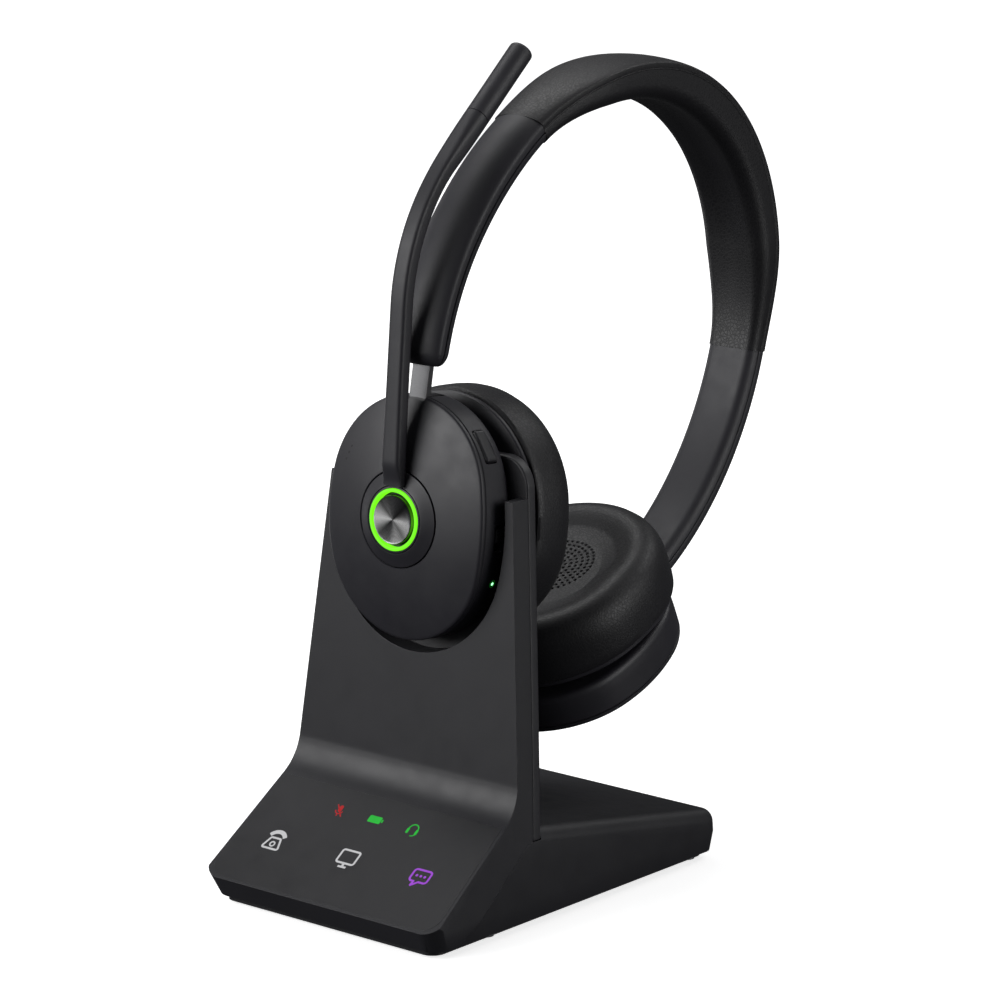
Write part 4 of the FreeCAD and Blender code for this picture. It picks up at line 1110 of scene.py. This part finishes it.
def make_piping(side, turns):
    """Thin welt in the seam at one edge of the padded top."""

    def draw(drawn):
        rings = []
        for turn in turns:
            half = pad_shape(turn)[0] - 0.30
            ring = []
            for step in range(10):
                angle = 2 * math.pi * step / 10
                ring.append(crown_point(turn, PAD_SEAM + PIPING_RADIUS * math.sin(angle))
                            + X * side * (half + PIPING_RADIUS * math.cos(angle)))
            rings.append(ring)
        add_rings(drawn, rings)

    make_piece("band_piping_" + ("front" if side > 0 else "rear"), draw, band, PIPING, "headband", sharp=80)

# ---------------------------------------------------------------- stand


LIP_FRONT = -63.4
LIP_TOP = 8.3
PANEL_SLOPE = math.atan2(31.3 - LIP_TOP, -30.9 - LIP_FRONT)


def on_panel(across, distance, depth):
    """World point on the sloped panel, in millimetres: across, up from the lip, and into the stand."""
    along = Vector((0, math.cos(PANEL_SLOPE), math.sin(PANEL_SLOPE)))
    into = Vector((0, math.sin(PANEL_SLOPE), -math.cos(PANEL_SLOPE)))
    return Vector((across, LIP_FRONT, LIP_TOP)) + along * distance + into * depth


def make_touch_panel():
    """Gloss film over the whole sloped face, with rounded front corners."""
    outline = rounded_outline([
        (-41.4, 0.75, 5.4), (41.4, 0.75, 5.4), (39.65, 38.3, 0.5), (-39.65, 38.3, 0.5)])
    wall = [(0.12, -0.06), (0.0, 0.05), (0.0, 0.3)]
    make_piece("touch_film", lambda drawn: add_slab(drawn, outline, wall, on_panel), world, PANEL_BLACK,
               "stand", "touch_panel", slot="touch_gloss")


def stroke(points, width, closed=False):
    """Outline of a drawn line with square ends; a closed line gives its outer and inner outline."""
    points = [Vector(point) for point in points]
    if closed:
        return [inset_outline(points, side * width / 2) for side in (-1, 1)]
    left, right = [], []
    for index, here in enumerate(points):
        before = points[max(index - 1, 0)]
        after = points[min(index + 1, len(points) - 1)]
        run = (after - before).normalized()
        normal = Vector((-run.y, run.x)) * width / 2
        left.append(here + normal)
        right.append(here - normal)
    return [left + right[::-1]]


# both faces of a mark, on the panel's film
MARK_DEPTHS = (-0.10, -0.02)


def add_glyph(drawn, outlines, across, distance):
    """A flat mark on the panel: an outline, or an outer and an inner outline with the same point count."""
    loops = []
    for outline in outlines:
        loops.append([
            [drawn.verts.new(on_panel(across + point.x, distance + point.y, depth)) for point in outline]
            for depth in MARK_DEPTHS])
    for upper, lower in loops:
        bridge(drawn, upper, lower)
    for level in (0, 1):
        if len(loops) == 1:
            drawn.faces.new(loops[0][level])
        else:
            bridge(drawn, loops[0][level], loops[1][level])


def circle(radius, x=0.0, y=0.0, start=0.0, end=360.0, steps=20):
    """Points of an arc or, from 0 to 360, of a closed circle."""
    count = steps if end - start >= 360 else steps + 1
    points = []
    for step in range(count):
        angle = math.radians(start + (end - start) * step / steps)
        points.append((x + radius * math.cos(angle), y + radius * math.sin(angle)))
    return points


# middle of each mark on the panel: across, and up from the lip
PHONE_AT = (-27.0, 16.4)
MONITOR_AT = (-0.4, 16.6)
BUBBLE_AT = (25.6, 16.6)
MUTE_AT = (-13.7, 30.7)
BATTERY_AT = (-0.5, 30.8)
HEADSET_AT = (13.2, 30.7)


def rounded_rectangle(left, bottom, right, top, radius):
    """Outline of a rectangle with rounded corners."""
    return rounded_outline([
        (left, bottom, radius), (right, bottom, radius), (right, top, radius), (left, top, radius)])


def make_icons():
    """Lit marks of the touch panel; the third call mark is a plain speech bubble."""
    line = 0.62

    def phone(drawn):
        handset = circle(3.0, 0, -0.2, 28, 152, 12)
        add_glyph(drawn, stroke(handset, 1.3), *PHONE_AT)
        body = rounded_outline([(-3.0, -3.1, 0.5), (3.0, -3.1, 0.5), (1.7, 0.6, 0.5), (-1.7, 0.6, 0.5)])
        add_glyph(drawn, stroke(body, line, True), *PHONE_AT)
        add_glyph(drawn, stroke(circle(0.75, 0, -1.5), 0.45, True), *PHONE_AT)

    def monitor(drawn):
        frame_line = rounded_rectangle(-3.1, -1.7, 3.1, 2.7, 0.7)
        add_glyph(drawn, stroke(frame_line, line, True), *MONITOR_AT)
        add_glyph(drawn, stroke([(-1.4, -3.0), (1.4, -3.0)], line), *MONITOR_AT)
        add_glyph(drawn, stroke([(0, -2.7), (0, -2.02)], 0.8), *MONITOR_AT)

    def bubble(drawn):
        corners = [(-3.0, -1.4, 0.9), (-1.2, -1.4, 0.1), (-1.5, -3.0, 0.1), (0.4, -1.4, 0.1),
                   (3.0, -1.4, 0.9), (3.0, 2.6, 0.9), (-3.0, 2.6, 0.9)]
        add_glyph(drawn, stroke(rounded_outline(corners, 5), line, True), *BUBBLE_AT)
        for across in (-1.4, 0.0, 1.4):
            dots = [Vector(point) for point in circle(0.42, across, 0.6, steps=12)]
            add_glyph(drawn, [dots], *BUBBLE_AT)

    def mute(drawn):
        add_glyph(drawn, [rounded_rectangle(-0.62, -0.4, 0.62, 1.9, 0.6)], *MUTE_AT)
        add_glyph(drawn, stroke(circle(1.25, 0, 0.2, 190, 350, 10), 0.34), *MUTE_AT)
        add_glyph(drawn, stroke([(0, -1.2), (0, -1.9)], 0.34), *MUTE_AT)
        add_glyph(drawn, stroke([(-1.7, 1.9), (1.7, -1.8)], 0.36), *MUTE_AT)

    def battery(drawn):
        add_glyph(drawn, [rounded_rectangle(-2.4, -1.15, 2.0, 1.15, 0.4)], *BATTERY_AT)
        add_glyph(drawn, [rounded_rectangle(2.25, -0.5, 2.7, 0.5, 0.15)], *BATTERY_AT)

    def headset(drawn):
        add_glyph(drawn, stroke(circle(1.55, 0, 0.2, -10, 190, 14), 0.36), *HEADSET_AT)
        for side in (-1, 1):
            low, high = sorted((side * 1.15, side * 1.95))
            add_glyph(drawn, [rounded_rectangle(low, -1.5, high, 0.3, 0.3)], *HEADSET_AT)
        add_glyph(drawn, stroke([(1.6, -1.5), (1.0, -2.0), (0.2, -2.1)], 0.3), *HEADSET_AT)

    marks = [
        ("phone_mark", phone, WHITE_ICON, "white_light", ("icon_lights",)),
        ("monitor_mark", monitor, WHITE_ICON, "white_light", ()),
        ("bubble_mark", bubble, VIOLET_ICON, "white_light", ()),
        ("mute_mark", mute, RED_ICON, "status_light", ("status_lights",)),
        ("battery_mark", battery, GREEN_ICON, "status_light", ()),
        ("headset_mark", headset, GREEN_ICON, "status_light", ())]
    for name, maker, material, slot, nodes in marks:
        make_piece(name, maker, world, material, "stand", *nodes, slot=slot)


def make_stand():
    """Shells of the stand with softened edges; the other stand pieces stay as they are."""

    def shell_edge(point):
        on_side = abs(point.x) > 33.6 and point.z > 2.6
        upright = point.z > 45
        lip = point.y < LIP_FRONT + 3.0
        return on_side or upright or lip

    def rear_edge(point):
        return point.z > 2.6 and (abs(point.x) > 36.4 or point.y > 59.4 or point.z > 14)

    softened("stand_front_shell", STAND_BLACK, 0.7, shell_edge)
    softened("stand_back_cover", STAND_BLACK, 0.6)
    softened("stand_rear_body", REAR_BLACK, 0.6, rear_edge)
    make_touch_panel()
    make_icons()

# ---------------------------------------------------------------- everything


KEPT = {
    "stand_base_plate": REAR_BLACK,
    "anti_slip_mat": RUBBER,
    "ballast_plate": SCREW_STEEL,
    "stand_main_board": BOARD_GREEN,
    "touch_board": BOARD_GREEN,
    "headset_board": BOARD_GREEN,
    "usb_sockets": STEEL,
    "stand_screws": SCREW_STEEL,
    "left_screws": SCREW_STEEL,
    "right_screws": SCREW_STEEL,
    "contact_block": NEAR_BLACK_AND_HOLE_SHADE,
    "charging_pins": GOLD,
    "charging_pads": GOLD,
    "left_pivot_pin": STEEL,
    "right_pivot_pin": STEEL,
    "left_driver": CONTROL_BLACK,
    "right_driver": CONTROL_BLACK,
    "left_driver_magnet": SCREW_STEEL,
    "right_driver_magnet": SCREW_STEEL,
    "microphone_capsule": SCREW_STEEL,
    "spring_band": STEEL,
    "left_slider": SLIDER_STEEL,
    "right_slider": SLIDER_STEEL,
    "battery": BATTERY_WRAP,
}
for node, material in KEPT.items():
    paint_node(node, material)

make_stand()
for side, place in (("left", left_cup), ("right", right_cup)):
    make_disc(side, place)
    make_ear_pad(side, place)
make_controls()
make_hub()
make_boom()
make_arm(-1, "left", 74.6)
make_arm(1, "right", 75.0)
make_band_top()

# ---------------------------------------------------------------- floor, light and camera

AIM = Vector((0, 0.01, 0.11))
ROOM_LIGHT = 0.065
BACKDROP_LIGHT = 1.05


def area_light(name, place, width, height, power):
    """A softbox aimed at the object."""
    data = bpy.data.lights.new(name, "AREA")
    data.shape = "RECTANGLE"
    data.size, data.size_y = width, height
    data.energy = power
    lamp = add_object(name, data)
    lamp.location = place
    lamp.rotation_euler = (AIM - Vector(place)).to_track_quat("-Z", "Y").to_euler()


def make_floor():
    """Flat pale floor that glows more with the distance, until it is as white as the backdrop."""
    drawn = bmesh.new()
    bmesh.ops.create_circle(drawn, cap_ends=True, radius=6.0, segments=64)
    floor = add_object("floor", mesh_of(drawn, "floor"))
    material, shader = new_material("floor")
    greys = ramp(material, noise(material, 3.0), (0.0, 0.76), (1.0, 0.79))
    link(material, greys, shader.inputs["Base Color"])
    set_inputs(shader, Roughness=0.7, Specular_IOR_Level=0.0, Emission_Color=(1, 1, 1, 1))
    place = add_node(material, "ShaderNodeTexCoord")
    reach = add_node(material, "ShaderNodeVectorMath")
    reach.operation = "LENGTH"
    link(material, place.outputs["Object"], reach.inputs[0])
    glow = ramp(material, reach.outputs["Value"], (0.25, 0.72), (0.8, BACKDROP_LIGHT))
    link(material, glow, shader.inputs["Emission Strength"])
    floor.data.materials.append(material)
    # hidden from diffuse and glossy rays, so it neither lights the object nor shows in it
    floor.visible_diffuse = False
    floor.visible_glossy = False


def make_surround():
    """A dim room for the light; the camera sees plain white behind the object instead."""
    surround = bpy.data.worlds.new("surround")
    surround.use_nodes = True
    nodes = surround.node_tree.nodes
    links = surround.node_tree.links
    room = nodes["Background"]
    set_inputs(room, Color=(0.93, 0.94, 1.0, 1), Strength=ROOM_LIGHT)
    backdrop = nodes.new("ShaderNodeBackground")
    set_inputs(backdrop, Color=(1, 1, 1, 1), Strength=BACKDROP_LIGHT)
    seen = nodes.new("ShaderNodeLightPath")
    mix = nodes.new("ShaderNodeMixShader")
    links.new(seen.outputs["Is Camera Ray"], mix.inputs["Fac"])
    links.new(room.outputs["Background"], mix.inputs[1])
    links.new(backdrop.outputs["Background"], mix.inputs[2])
    links.new(mix.outputs["Shader"], nodes["World Output"].inputs["Surface"])
    bpy.context.scene.world = surround


make_floor()
make_surround()
bpy.context.scene.view_settings.view_transform = "Standard"

area_light("key", (-0.55, -1.05, 0.55), 1.0, 0.8, 14)
area_light("side", (1.1, 0.35, 0.35), 0.5, 0.9, 6)
area_light("top", (-0.42, 0.2, 1.0), 0.6, 0.6, 4)
area_light("back", (0.3, 0.95, 1.15), 0.7, 0.5, 4)
area_light("far_side", (-1.25, 0.2, 0.1), 0.6, 0.8, 2)

camera_data = bpy.data.cameras.new("camera")
camera_data.lens = 156.57
camera_data.sensor_width = 36.0
camera_data.clip_start = 0.05
camera = add_object("camera", camera_data)
CAMERA_TURN = math.radians(40.187)
CAMERA_RISE = math.radians(13.258)
CAMERA_DISTANCE = 1.2055
CAMERA_AIM = Vector((0, 0.0137, 0.1064))
towards = Vector((
    math.sin(CAMERA_TURN) * math.cos(CAMERA_RISE),
    -math.cos(CAMERA_TURN) * math.cos(CAMERA_RISE),
    math.sin(CAMERA_RISE)))
camera.location = CAMERA_AIM + towards * CAMERA_DISTANCE
camera.rotation_euler = (-towards).to_track_quat("-Z", "Y").to_euler()
bpy.context.scene.camera = camera
